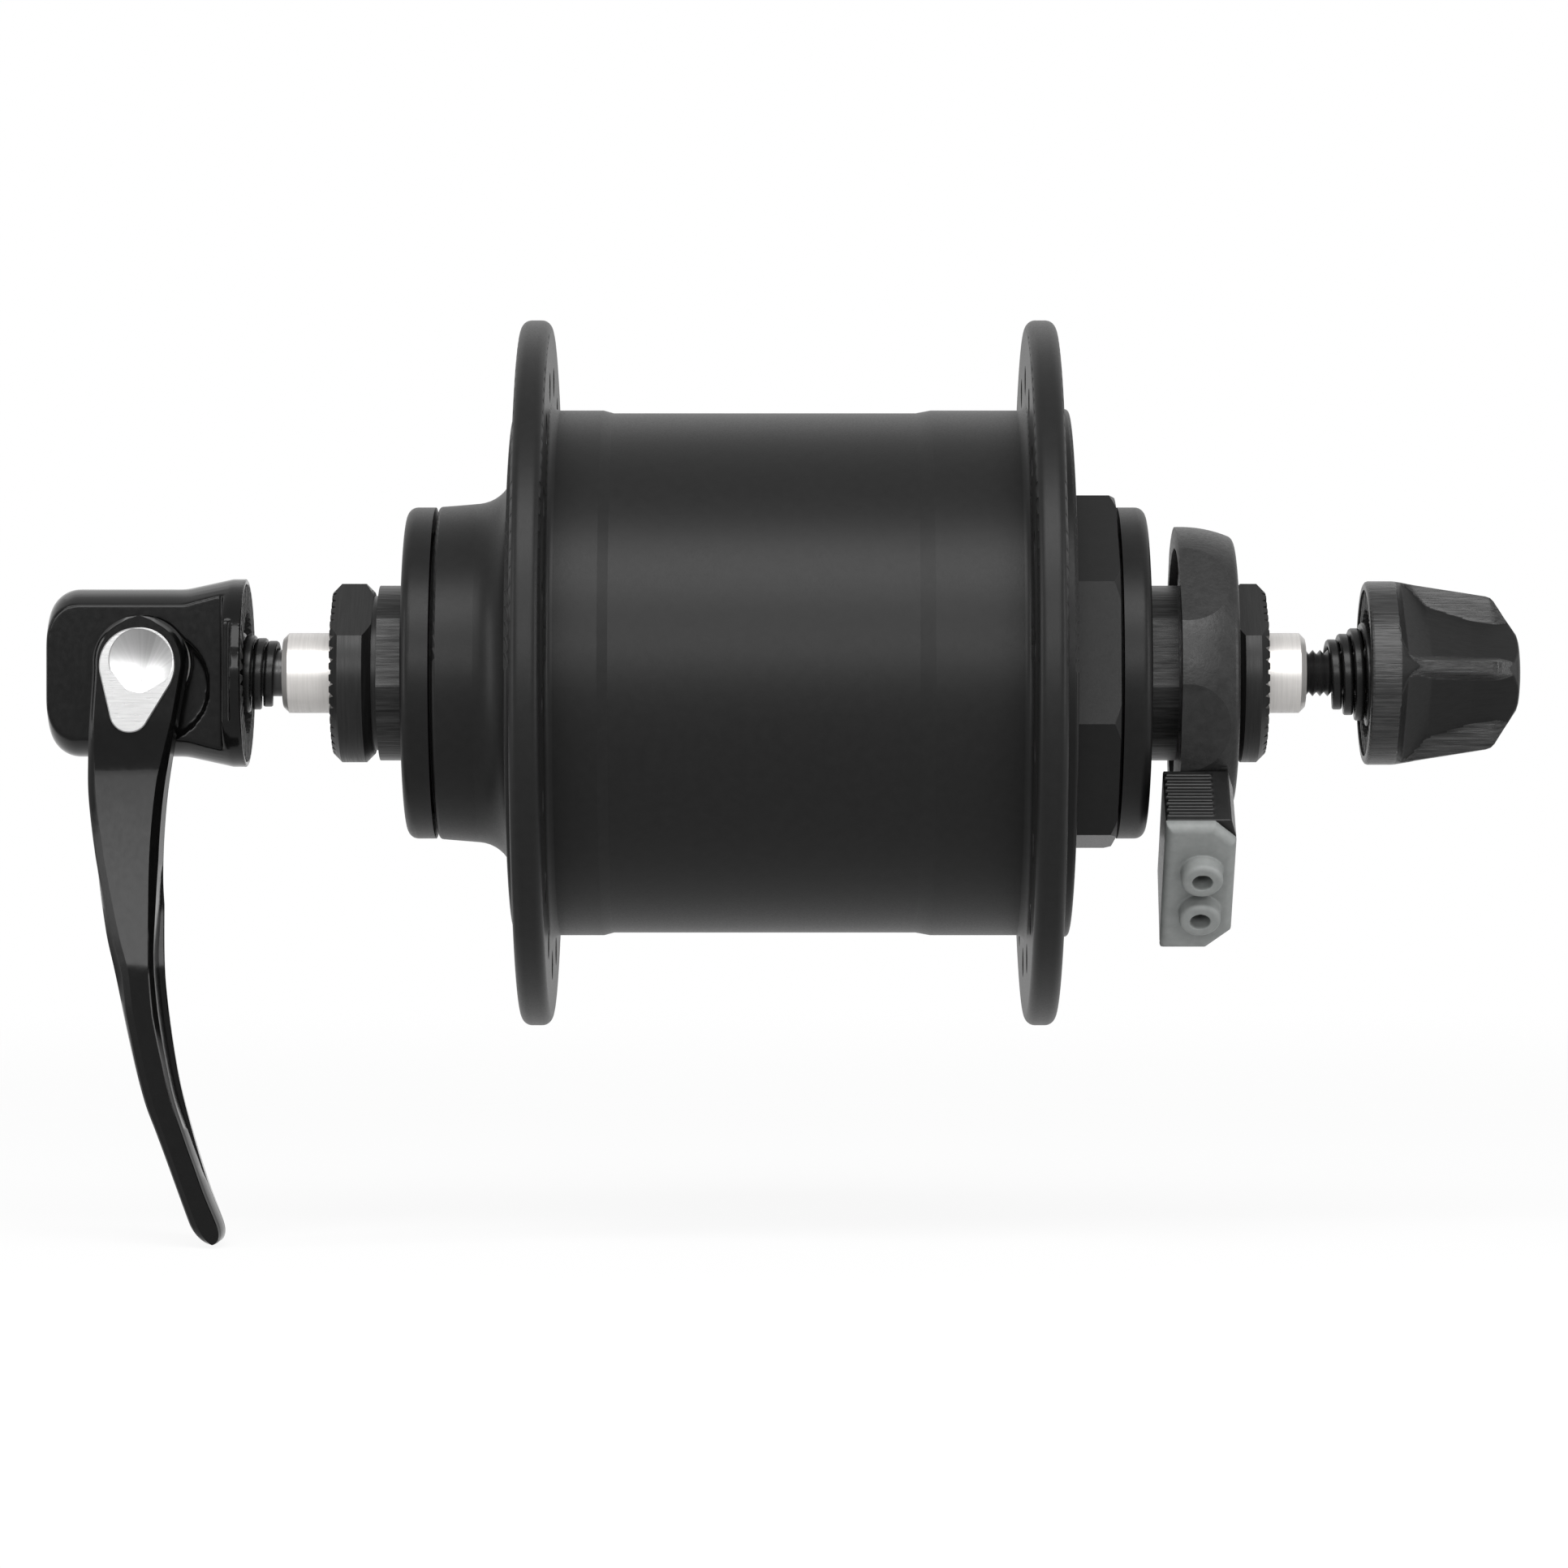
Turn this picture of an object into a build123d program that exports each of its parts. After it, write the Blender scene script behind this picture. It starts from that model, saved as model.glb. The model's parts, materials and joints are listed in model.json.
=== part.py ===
from build123d import *
import os
from math import cos, hypot, pi, sin, sqrt

# Front wheel hub dynamo with quick release, in millimetres.
# X runs along the axle to the terminal side, Z is up, the viewer stands on the -Y side.
# The origin is on the axle line, midway between the two fork faces of the locknuts.

os.makedirs("parts", exist_ok=True)

# Fits and cutting values
overrun = 2.0
seat_fit = 0.02
running_fit = 0.05
turning_gap = 0.4

# Axle
over_locknut = 100.0
axle_r = 4.5
axle_end_r = 4.3
axle_bore_r = 2.8
axle_left_stub = 5.4
axle_right_stub = 4.3
axle_tip_chamfer = 0.6

# Locknuts, washer and cones, from the fork faces inwards
locknut_r = 9.6
locknut_chamfer = 0.9
locknut_flat_reach = 8.3
locknut_flat_turn = 54.0
left_locknut_t = 4.4
right_locknut_t = 3.5
locknut_teeth = 44
locknut_tooth_depth = 0.5
locknut_tooth_floor_r = 6.2
left_washer_t = 0.6
left_washer_r = 8.3
cone_head_r = 9.4
cone_flat_reach = 8.6
cone_flat_turn = 14.0
left_cone_head_t = 3.0
right_cone_head_t = 3.2
cone_neck_r = 9.0
terminal_w = 6.2

# Bearings
ball_r = 2.38
ball_count = 9
ball_pitch_r = 11.2
ball_play = 0.05
ball_setback = 3.8
cone_nose = 2.2
cup_r = 15.4
cup_front = 1.9
cup_depth = 3.8
cup_bore_r = 10.6
cup_race_start = 0.9
cage_inner_r = 11.8
cage_outer_r = 13.7
cage_front = 2.1
cage_back = 0.5
cage_gap = 0.3

# Dust covers and seals
cover_r = 17.8
cover_t = 3.0
cover_round = 1.1
seal_t = 1.2
seal_outer_gap = 0.3

# Hub shell
flange_r = 37.85
flange_t = 3.25
flange_round = 1.1
flange_spacing = 53.9
flange_shift = -1.15
spoke_count = 18
spoke_inset = 6.45
spoke_hole_r = 1.3
spoke_sink_r = 1.65
spoke_sink_run = 0.6
left_spoke_turn = 93.7
right_spoke_turn = 83.9
barrel_r = 27.9
band_r = 28.2
left_band_w = 5.5
left_band_taper = 1.1
right_band_w = 10.1
right_band_taper = 1.6
flange_root_round = 0.9
step_r = 27.8
step_t = 0.9
step_round = 0.5
bell_root_r = 18.5
bell_mouth_r = 17.85
bell_root_round = 4.0
bell_mouth_round = 0.4
shell_bore_r = 25.9
shell_end_wall = 3.9
shell_web_bore_r = 12.0

# End cap on the terminal side
end_rim_r = 28.35
end_rim_t = 1.4
end_rim_round = 0.4
octagon_r = 19.7
octagon_turn = 16.5
octagon_chamfer = 0.7
spigot_len = 5.0
spigot_wall = 3.2
end_web_t = 2.5
ring_seal_r = 0.6

# Generator
generator_mid = -2.5
magnet_half = 15.0
yoke_ring_half = 16.5
yoke_ring_wall = 1.5
magnet_wall = 2.5
magnet_segments = 4
magnet_gap_angle = 3.0
air_gap = 0.4
claw_count = 14
claw_w = 2.6
claw_t = 1.9
claw_plate_t = 2.4
claw_plate_half = 14.2
claw_disc_r = 18.5
claw_tip_gap = 0.8
core_r = 8.0
bobbin_wall = 1.0
bobbin_flange_t = 1.2
bobbin_flange_r = 18.6
winding_r = 18.0
stator_nut_r = 7.5
stator_nut_t = 2.5
post_r = 1.2
post_reach_r = 13.0
post_stand = 0.8

# Lead wire in its axle groove
wire_r = 0.4
wire_line_r = 3.85
wire_bend_r = 1.2
wire_nut_gap = 1.4
groove_w = 1.0
groove_floor_r = 3.35

# Terminal housing and its plug.  The plug stands out square to a radius of the axle.
terminal_r = 15.7
terminal_crown_r = 15.48
terminal_edge_r = 14.5
terminal_round = 0.9
terminal_flat_reach = 14.9
terminal_flat_turns = (38.5, -23.5, 141.5, 203.5)
terminal_recess_r = 13.4
terminal_recess_t = 0.8
plug_turn = -42.0
foot_reach = 15.3
foot_len = 14.0
foot_side = 0.6
foot_depth = 9.0
blade_t = 0.8
blade_w = 2.4
blade_top = 19.5
blade_root = 9.0
blade_first = 4.0
blade_pitch = 5.6
plug_left = 38.4
plug_right = 45.9
plug_seat = 15.7
plug_t = 7.7
plug_len = 17.7
plug_tail_drop = 3.4
plug_corner = 2.3
body_corner = 0.6
plug_tail_corner = 2.6
rib_count = 7
rib_pitch = 0.98
rib_w = 0.42
rib_h = 0.3
rib_inset = 0.5
rib_land = 2.2
cover_plate_t = 1.2
cover_edge = 0.9
wire_port_r = 1.07
wire_port_core_r = 0.9
wire_boss_r = 2.2
wire_boss_h = 1.9
wire_boss_round = 0.5
wire_port_line = 42.35
wire_port_first = 6.15
wire_port_pitch = 5.65
slot_gap = 0.15
socket_t = 0.4

# Quick release housing
pivot_out = 70.0
pivot_up = 1.0
housing_out = 80.4
housing_face = 59.3
housing_r = 9.0
housing_back = 7.4
housing_front = 5.4
housing_end_round = 3.2
collar_r = 10.1
collar_w = 1.5
collar_flare = 5.0
collar_flat_reach = 8.4
collar_shoulder = 0.7
clamp_ring_t = 0.9
collar_lip = 0.3
clamp_ring_r = 9.5
clamp_ring_bore_r = 6.5
clamp_teeth = 36
clamp_tooth_depth = 0.5
spring_pocket_r = 5.1
spring_pocket_depth = 3.2
rod_bore_r = 2.9
cavity_half_w = 3.0
cavity_margin = 0.6
scoop_r = 6.0
scoop_shift = 1.0
scoop_drop = 2.5
scoop_depth = 1.4

# Lever, cam and badge
lever_t = 4.4
lever_head_r = 5.0
lever_clear = 0.4
lever_reach = 61.8
lever_paddle_back = 6.0
lever_corner_r = 5.5
journal_r = 4.2
cam_r = 3.0
cam_throw = 0.8
bushing_wall = 0.6
cap_r = 5.2
cap_t = 1.6
badge_r = 4.0
badge_small_r = 1.5
badge_drop = 6.0
badge_slant = -1.3
badge_t = 0.5
badge_proud = 0.25
badge_dish_r = 3.3
badge_dish_depth = 0.35

# Skewer, springs and adjusting nut
rod_r = 2.5
rod_tip = 70.8
thread_pitch = 0.8
thread_depth = 0.45
thread_start = 50.0
eye_half_w = 2.4
eye_wall = 1.5
eye_round = 3.6
eye_slack = 0.25
wire_d = 0.8
spring_pitch = 1.2
spring_half_turns = 9
half_samples = 24
left_spring_start = 56.2
left_spring_r = 3.0
left_spring_grow = 0.3
right_spring_start = 56.9
right_spring_r = 3.08
right_spring_grow = 0.6
nut_face = 60.7
nut_rim_w = 3.2
nut_r = 9.87
nut_waist = 73.6
nut_waist_r = 8.2
nut_tip = 77.2
nut_tip_r = 3.6
nut_tip_round = 0.7
nut_ribs = 4
nut_rib_turn = 3.8
nut_rib_w = 2.6
nut_floor_start = 7.8
nut_floor_middle = 5.8
nut_floor_end = 4.1
nut_floor_middle_share = 0.41
nut_shoulder_run = 0.5
nut_ring_r = 8.9
nut_ring_bore_r = 6.9
nut_ring_t = 1.4
nut_ring_inset = 0.2
nut_pocket_r = 6.6
nut_pocket_t = 1.5
insert_r = 4.1
insert_len = 8.6
nut_blind_end = 73.4

# Stations along the axle, worked out from the stacks
right_fork_face = over_locknut / 2
left_fork_face = -over_locknut / 2
left_cone_out = left_fork_face + left_locknut_t + left_washer_t
left_cover_out = left_cone_out + left_cone_head_t
terminal_out = right_fork_face - right_locknut_t
terminal_in = terminal_out - terminal_w
right_cover_out = terminal_in - right_cone_head_t
left_cover_in = left_cover_out + cover_t
right_cover_in = right_cover_out - cover_t
left_flange = flange_shift - flange_spacing / 2
right_flange = flange_shift + flange_spacing / 2
left_step_face = left_flange - flange_t / 2 - step_t
right_flange_face = right_flange + flange_t / 2
end_rim_face = right_flange_face + end_rim_t
race_r = ball_r + ball_play
half_share = 0.5


def radial(angle):
    """Unit vector square to the axle: 0 degrees towards the viewer, 90 degrees up."""
    return Vector(0, -cos(angle * pi / 180), sin(angle * pi / 180))


def turn(*profile, mode=Mode.ADD):
    """Spin a half section, given as (along the axle, radius) points, about the axle line."""
    with BuildSketch(Plane.XZ) as section:
        with BuildLine():
            Polyline(*profile, close=True)
        make_face()
    revolve(section.sketch, axis=Axis.X, mode=mode)


def tube(start, end, outer, inner, mode=Mode.ADD):
    """A plain ring about the axle line."""
    turn((start, inner), (end, inner), (end, outer), (start, outer), mode=mode)


def edges_at(place, radius, tolerance_share=0.004):
    """Round edges about the axle line at one place and radius."""
    close = radius * tolerance_share
    found = ShapeList()
    for edge in edges().filter_by(GeomType.CIRCLE):
        centre = edge.arc_center
        if abs(centre.X - place) < close and abs(edge.radius - radius) < close:
            if hypot(centre.Y, centre.Z) < close:
                found.append(edge)
    return found


def save(builder, name):
    """Label a finished piece and write it."""
    builder.part.label = name
    export_step(builder.part, "parts/" + name + ".step")


def facets(start, end, reach, angles, size):
    """Flats cut on a round piece, each square to the given direction."""
    for angle in angles:
        plane = Plane(
            origin=Vector(start, 0, 0) + radial(angle) * reach, x_dir=(1, 0, 0), z_dir=radial(angle)
        )
        with BuildSketch(plane) as patch:
            with Locations(((end - start) / 2, 0)):
                Rectangle(end - start, size * 2)
        extrude(patch.sketch, amount=size, mode=Mode.SUBTRACT)


def serrate(face, side, inner, outer, depth, teeth, groove_share=0.9):
    """V grooves across a round face, like the spokes of a wheel."""
    half = pi * outer / teeth * groove_share
    length = outer - inner + overrun
    for index in range(teeth):
        plane = Plane(
            origin=Vector(face, 0, 0),
            x_dir=(side, 0, 0),
            z_dir=radial(360 / teeth * index),
        ).offset(inner)
        with BuildSketch(plane) as groove:
            with BuildLine():
                Polyline((-depth, 0), (depth, half), (depth, -half), close=True)
            make_face()
        extrude(groove.sketch, amount=length, mode=Mode.SUBTRACT)


# Axle: hollow, with chamfered ends and a groove for the lead wire
left_tip = left_fork_face - axle_left_stub
right_tip = right_fork_face + axle_right_stub
claw_right_face = generator_mid + claw_plate_half
nut_end = claw_right_face + stator_nut_t
wire_rise = nut_end + wire_nut_gap
blade_line = (plug_left + plug_right) / 2 + groove_w
with BuildPart() as axle:
    tube(left_tip, right_tip, axle_end_r, axle_bore_r)
    chamfer(edges_at(left_tip, axle_end_r) + edges_at(right_tip, axle_end_r), axle_tip_chamfer)
    tube(left_fork_face, right_fork_face, axle_r, axle_bore_r)
    groove_plane = Plane(
        origin=radial(plug_turn) * groove_floor_r, x_dir=(1, 0, 0), z_dir=radial(plug_turn)
    )
    groove_start = wire_rise - wire_bend_r
    groove_end = blade_line + wire_bend_r
    with BuildSketch(groove_plane) as groove:
        with Locations(((groove_start + groove_end) / 2, 0)):
            SlotOverall(groove_end - groove_start, groove_w)
    extrude(groove.sketch, amount=axle_r, mode=Mode.SUBTRACT)
save(axle, "axle")


def locknut(side, thickness):
    """Locknut: chamfered ring with two spanner flats and a toothed fork face."""
    face = side * over_locknut / 2
    back = face - side * thickness
    bore = axle_r + seat_fit
    with BuildPart() as nut:
        tube(face, back, locknut_r, bore)
        chamfer(edges_at(face, locknut_r) + edges_at(back, locknut_r), locknut_chamfer)
        facets(
            min(face, back) - overrun,
            max(face, back) + overrun,
            locknut_flat_reach,
            (locknut_flat_turn, locknut_flat_turn + 180),
            locknut_r,
        )
        serrate(
            face, side, locknut_tooth_floor_r, locknut_r, locknut_tooth_depth, locknut_teeth
        )
    return nut


save(locknut(-1, left_locknut_t), "left_locknut")
save(locknut(1, right_locknut_t), "right_locknut")

with BuildPart() as left_washer:
    washer_out = left_fork_face + left_locknut_t
    tube(washer_out, washer_out + left_washer_t, left_washer_r, axle_r + seat_fit)
save(left_washer, "left_lock_washer")


def cone(side, head_out, cover_out):
    """Bearing cone: spanner head, neck that carries the dust cover, flange with the ball race."""
    cover_in = cover_out - side * cover_t
    ball = cover_in - side * ball_setback
    nose = ball - side * cone_nose
    bore = axle_r + seat_fit
    top = (ball + side * race_r, ball_pitch_r)
    low = (ball, ball_pitch_r - race_r)
    mid = (ball + side * race_r * cos(pi / 4), ball_pitch_r - race_r * sin(pi / 4))
    with BuildPart() as body:
        with BuildSketch(Plane.XZ) as section:
            with BuildLine():
                Polyline(
                    low,
                    (nose, low[1]),
                    (nose, bore),
                    (head_out, bore),
                    (head_out, cone_head_r),
                    (cover_out, cone_head_r),
                    (cover_out, cone_neck_r),
                    (cover_in, cone_neck_r),
                    (cover_in, ball_pitch_r),
                    top,
                )
                ThreePointArc(top, mid, low)
            make_face()
        revolve(section.sketch, axis=Axis.X)
        facets(
            min(head_out, cover_out),
            max(head_out, cover_out),
            cone_flat_reach,
            (cone_flat_turn, cone_flat_turn + 180),
            cone_head_r,
        )
    return body


def cup(side, cover_out):
    """Bearing cup: ring with the outer ball race, open towards the dust cover."""
    ball = cover_out - side * (cover_t + ball_setback)
    front = ball + side * cup_front
    back = ball - side * cup_depth
    inner = cage_outer_r + cage_gap
    edge_r = ball_pitch_r + sqrt(race_r**2 - cup_race_start**2)
    start = (ball - side * cup_race_start, edge_r)
    mid = (ball - side * race_r * cos(pi / 4), ball_pitch_r + race_r * sin(pi / 4))
    end = (ball - side * race_r, ball_pitch_r)
    with BuildPart() as body:
        with BuildSketch(Plane.XZ) as section:
            with BuildLine():
                ThreePointArc(start, mid, end)
                Polyline(
                    end,
                    (end[0], cup_bore_r),
                    (back, cup_bore_r),
                    (back, cup_r),
                    (front, cup_r),
                    (front, inner),
                    (start[0], inner),
                    start,
                )
            make_face()
        revolve(section.sketch, axis=Axis.X)
    return body


def balls(side, cover_out):
    """The bearing's loose balls in one group."""
    ball = cover_out - side * (cover_t + ball_setback)
    with BuildPart() as group:
        for index in range(ball_count):
            place = Vector(ball, 0, 0) + radial(360 / ball_count * index) * ball_pitch_r
            with Locations(place):
                Sphere(ball_r)
    return group


def cage(side, cover_out):
    """Ball cage: a ring outboard of the balls with a pocket for each."""
    ball = cover_out - side * (cover_t + ball_setback)
    with BuildPart() as ring:
        tube(ball - side * cage_back, ball + side * cage_front, cage_outer_r, cage_inner_r)
        for index in range(ball_count):
            place = Vector(ball, 0, 0) + radial(360 / ball_count * index) * ball_pitch_r
            with Locations(place):
                Sphere(race_r, mode=Mode.SUBTRACT)
    return ring


def dust_cover(side, cover_out):
    """Dust cover: a thick disc seated on the cone's neck."""
    cover_in = cover_out - side * cover_t
    with BuildPart() as disc:
        tube(cover_out, cover_in, cover_r, cone_neck_r + seat_fit)
        fillet(edges_at(cover_out, cover_r), cover_round)
    return disc


def seal(side, cover_out):
    """Rubber seal ring behind the dust cover, around the cone's flange."""
    cover_in = cover_out - side * cover_t
    with BuildPart() as ring:
        tube(cover_in, cover_in - side * seal_t, cup_r - seal_outer_gap, ball_pitch_r + seat_fit)
    return ring


for side, label, head_out, cover_out in (
    (-1, "left", left_cone_out, left_cover_out),
    (1, "right", terminal_in, right_cover_out),
):
    save(cone(side, head_out, cover_out), label + "_cone")
    save(cup(side, cover_out), label + "_bearing_cup")
    save(balls(side, cover_out), label + "_balls")
    save(cage(side, cover_out), label + "_ball_cage")
    save(dust_cover(side, cover_out), label + "_dust_cover")
    save(seal(side, cover_out), label + "_seal")


def spoke_holes(flange, start_angle):
    """Spoke holes through a flange, countersunk on both faces."""
    sink = spoke_sink_r - spoke_hole_r
    half = flange_t / 2
    for index in range(spoke_count):
        place = Vector(flange, 0, 0)
        place += radial(start_angle + 360 / spoke_count * index) * (flange_r - spoke_inset)
        with BuildSketch(Plane(place, x_dir=(1, 0, 0), z_dir=(0, -1, 0))) as section:
            with BuildLine():
                Polyline(
                    (-half - spoke_sink_run, 0),
                    (-half - spoke_sink_run, spoke_sink_r),
                    (-half, spoke_sink_r),
                    (-half + sink, spoke_hole_r),
                    (half - sink, spoke_hole_r),
                    (half, spoke_sink_r),
                    (half + spoke_sink_run, spoke_sink_r),
                    (half + spoke_sink_run, 0),
                    close=True,
                )
            make_face()
        revolve(section.sketch, axis=Axis(place, (1, 0, 0)), mode=Mode.SUBTRACT)


# Hub shell: bell, two spoke flanges and barrel in one piece
left_ball = left_cover_out + cover_t + ball_setback
cup_seat_end = left_ball + cup_depth
bell_end = left_cover_in + turning_gap
left_in = left_flange + flange_t / 2
left_out = left_flange - flange_t / 2
right_in = right_flange - flange_t / 2
chamber_start = cup_seat_end + shell_end_wall
with BuildPart() as hub_shell:
    turn(
        (bell_end, cup_r + seat_fit),
        (bell_end, bell_mouth_r),
        (left_step_face, bell_root_r),
        (left_step_face, step_r),
        (left_out, step_r),
        (left_out, flange_r),
        (left_in, flange_r),
        (left_in, band_r),
        (left_in + left_band_w, band_r),
        (left_in + left_band_w + left_band_taper, barrel_r),
        (right_in - right_band_w - right_band_taper, barrel_r),
        (right_in - right_band_w, band_r),
        (right_in, band_r),
        (right_in, flange_r),
        (right_flange_face, flange_r),
        (right_flange_face, shell_bore_r),
        (chamber_start, shell_bore_r),
        (chamber_start, shell_web_bore_r),
        (cup_seat_end, shell_web_bore_r),
        (cup_seat_end, cup_r + seat_fit),
    )
    rims = edges_at(left_out, flange_r) + edges_at(left_in, flange_r)
    rims += edges_at(right_in, flange_r) + edges_at(right_flange_face, flange_r)
    fillet(rims, flange_round)
    fillet(edges_at(left_in, band_r) + edges_at(right_in, band_r), flange_root_round)
    fillet(edges_at(left_step_face, step_r), step_round)
    fillet(edges_at(left_step_face, bell_root_r), bell_root_round)
    fillet(edges_at(bell_end, bell_mouth_r), bell_mouth_round)
    spoke_holes(left_flange, left_spoke_turn)
    spoke_holes(right_flange, right_spoke_turn)
save(hub_shell, "hub_shell")

# End cap: screwed into the shell, with an eight sided spanner boss
right_ball = right_cover_out - cover_t - ball_setback
right_seat_end = right_ball - cup_depth
boss_end = right_cover_in - turning_gap
spigot_end = right_flange_face - spigot_len
spigot_r = shell_bore_r - seat_fit
web_in = right_seat_end - end_web_t
with BuildPart() as end_cap:
    turn(
        (end_rim_face, cup_r + seat_fit),
        (end_rim_face, end_rim_r),
        (right_flange_face, end_rim_r),
        (right_flange_face, spigot_r),
        (spigot_end, spigot_r),
        (spigot_end, spigot_r - spigot_wall),
        (web_in, spigot_r - spigot_wall),
        (web_in, shell_web_bore_r),
        (right_seat_end, shell_web_bore_r),
        (right_seat_end, cup_r + seat_fit),
    )
    fillet(edges_at(end_rim_face, end_rim_r), end_rim_round)
    with BuildSketch(Plane.YZ.offset(end_rim_face)) as boss:
        RegularPolygon(octagon_r, 8, rotation=octagon_turn)
        Circle(cup_r + seat_fit, mode=Mode.SUBTRACT)
    extrude(boss.sketch, amount=boss_end - end_rim_face)
    turn(
        (boss_end - octagon_chamfer, octagon_r),
        (boss_end, octagon_r - octagon_chamfer),
        (boss_end + overrun, octagon_r - octagon_chamfer),
        (boss_end + overrun, octagon_r + overrun),
        (boss_end - octagon_chamfer, octagon_r + overrun),
        mode=Mode.SUBTRACT,
    )
    groove_x = spigot_end + spigot_len - ring_seal_r * 2
    tube(groove_x - ring_seal_r, groove_x + ring_seal_r, spigot_r + overrun,
         spigot_r - ring_seal_r * 2, mode=Mode.SUBTRACT)
save(end_cap, "end_cap")

with BuildPart() as end_cap_o_ring:
    with BuildSketch(Plane.XZ) as section:
        with Locations((groove_x, spigot_r - ring_seal_r)):
            Circle(ring_seal_r - seat_fit)
    revolve(section.sketch, axis=Axis.X)
save(end_cap_o_ring, "end_cap_o_ring")

# Rotor: steel ring in the shell with four curved magnets inside it
yoke_ring_r = shell_bore_r - seat_fit
magnet_outer_r = yoke_ring_r - yoke_ring_wall
magnet_inner_r = magnet_outer_r - magnet_wall
with BuildPart() as magnet_yoke_ring:
    tube(generator_mid - yoke_ring_half, generator_mid + yoke_ring_half, yoke_ring_r, magnet_outer_r)
save(magnet_yoke_ring, "magnet_yoke_ring")

with BuildPart() as rotor_magnets:
    for index in range(magnet_segments):
        step = 360 / magnet_segments
        with BuildSketch(Plane.XZ.rotated((step * index, 0, 0))) as section:
            with Locations((generator_mid, (magnet_outer_r - seat_fit + magnet_inner_r) / 2)):
                Rectangle(magnet_half * 2, magnet_outer_r - seat_fit - magnet_inner_r)
        revolve(section.sketch, axis=Axis.X, revolution_arc=step - magnet_gap_angle)
save(rotor_magnets, "rotor_magnets")

# Stator: core sleeve, two claw plates, bobbin, winding and the nuts that clamp them
claw_r = magnet_inner_r - air_gap
with BuildPart() as stator_core:
    tube(
        generator_mid - claw_plate_half,
        generator_mid + claw_plate_half,
        core_r,
        axle_r + seat_fit,
    )
save(stator_core, "stator_core")


def claw_plate(side):
    """Claw pole plate: a disc with fingers that reach over the coil towards the other plate."""
    face = generator_mid + side * claw_plate_half
    back = face - side * claw_plate_t
    reach = claw_plate_half * 2 - claw_plate_t - claw_tip_gap
    first = 0 if side < 0 else 180 / claw_count
    with BuildPart() as plate:
        tube(face, back, claw_disc_r, core_r + seat_fit)
        root = claw_disc_r - claw_t
        with BuildSketch(Plane.YZ.offset(min(face, back))) as roots:
            with PolarLocations((root + claw_r) / 2, claw_count, start_angle=first):
                Rectangle(claw_r - root, claw_w)
        extrude(roots.sketch, amount=claw_plate_t)
        with BuildSketch(Plane.YZ.offset(face)) as fingers:
            with PolarLocations(claw_r - claw_t / 2, claw_count, start_angle=first):
                Rectangle(claw_t, claw_w)
        extrude(fingers.sketch, amount=-side * reach)
        if side > 0:
            with Locations(Vector(face, 0, 0) + radial(plug_turn) * post_reach_r):
                Cylinder(
                    post_r + seat_fit,
                    claw_plate_t * 2 + overrun,
                    rotation=(0, 90, 0),
                    mode=Mode.SUBTRACT,
                )
    return plate


save(claw_plate(-1), "left_claw_plate")
save(claw_plate(1), "right_claw_plate")

coil_half = claw_plate_half - claw_plate_t - seat_fit
bobbin_r = core_r + seat_fit + bobbin_wall
with BuildPart() as coil_bobbin:
    tube(generator_mid - coil_half, generator_mid + coil_half, bobbin_r, core_r + seat_fit)
    for side in (-1, 1):
        edge = generator_mid + side * coil_half
        tube(edge, edge - side * bobbin_flange_t, bobbin_flange_r, bobbin_r - bobbin_wall / 2)
    post_len = claw_plate_t + post_stand + bobbin_flange_t
    with Locations(
        Vector(claw_right_face + post_stand - post_len / 2, 0, 0)
        + radial(plug_turn) * post_reach_r
    ):
        Cylinder(post_r, post_len, rotation=(0, 90, 0))
save(coil_bobbin, "coil_bobbin")

winding_half = coil_half - bobbin_flange_t - seat_fit
with BuildPart() as coil_winding:
    tube(
        generator_mid - winding_half, generator_mid + winding_half, winding_r, bobbin_r + seat_fit
    )
save(coil_winding, "coil_winding")

with BuildPart() as stator_nuts:
    for side in (-1, 1):
        with BuildSketch(Plane.YZ.offset(generator_mid + side * claw_plate_half)) as hexagon:
            RegularPolygon(stator_nut_r, 6)
            Circle(axle_r + seat_fit, mode=Mode.SUBTRACT)
        extrude(hexagon.sketch, amount=side * stator_nut_t)
save(stator_nuts, "stator_nuts")

# Lead wire: from the bobbin's post down into the axle groove and up to the live contact
outward = radial(plug_turn)
post_end = claw_right_face + post_stand
with BuildPart() as lead_wire:
    with BuildLine() as route:
        FilletPolyline(
            Vector(post_end, 0, 0) + outward * post_reach_r,
            Vector(wire_rise, 0, 0) + outward * post_reach_r,
            Vector(wire_rise, 0, 0) + outward * wire_line_r,
            Vector(blade_line, 0, 0) + outward * wire_line_r,
            Vector(blade_line, 0, 0) + outward * blade_root,
            radius=wire_bend_r,
        )
    with BuildSketch(Plane(route.line @ 0, z_dir=route.line % 0)) as wire_section:
        Circle(wire_r)
    sweep(wire_section.sketch, path=route.line)
save(lead_wire, "lead_wire")

# Terminal housing: a domed ring with thumb flats and a foot that carries the contacts.
# In the foot's own plane, local x runs along the axle and local y runs down the plug.
along = Vector(0, sin(-plug_turn * pi / 180), -cos(-plug_turn * pi / 180))


def plug_plane(reach):
    """Plane square to the plug's pull direction, at a distance from the axle line."""
    return Plane(origin=outward * reach, x_dir=(1, 0, 0), z_dir=outward)


def down(distance):
    """Local y of a place that far down the plug from the axle line."""
    y_axis = plug_plane(0).y_dir
    return distance * (1 if y_axis.dot(along) > 0 else -1)


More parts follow.
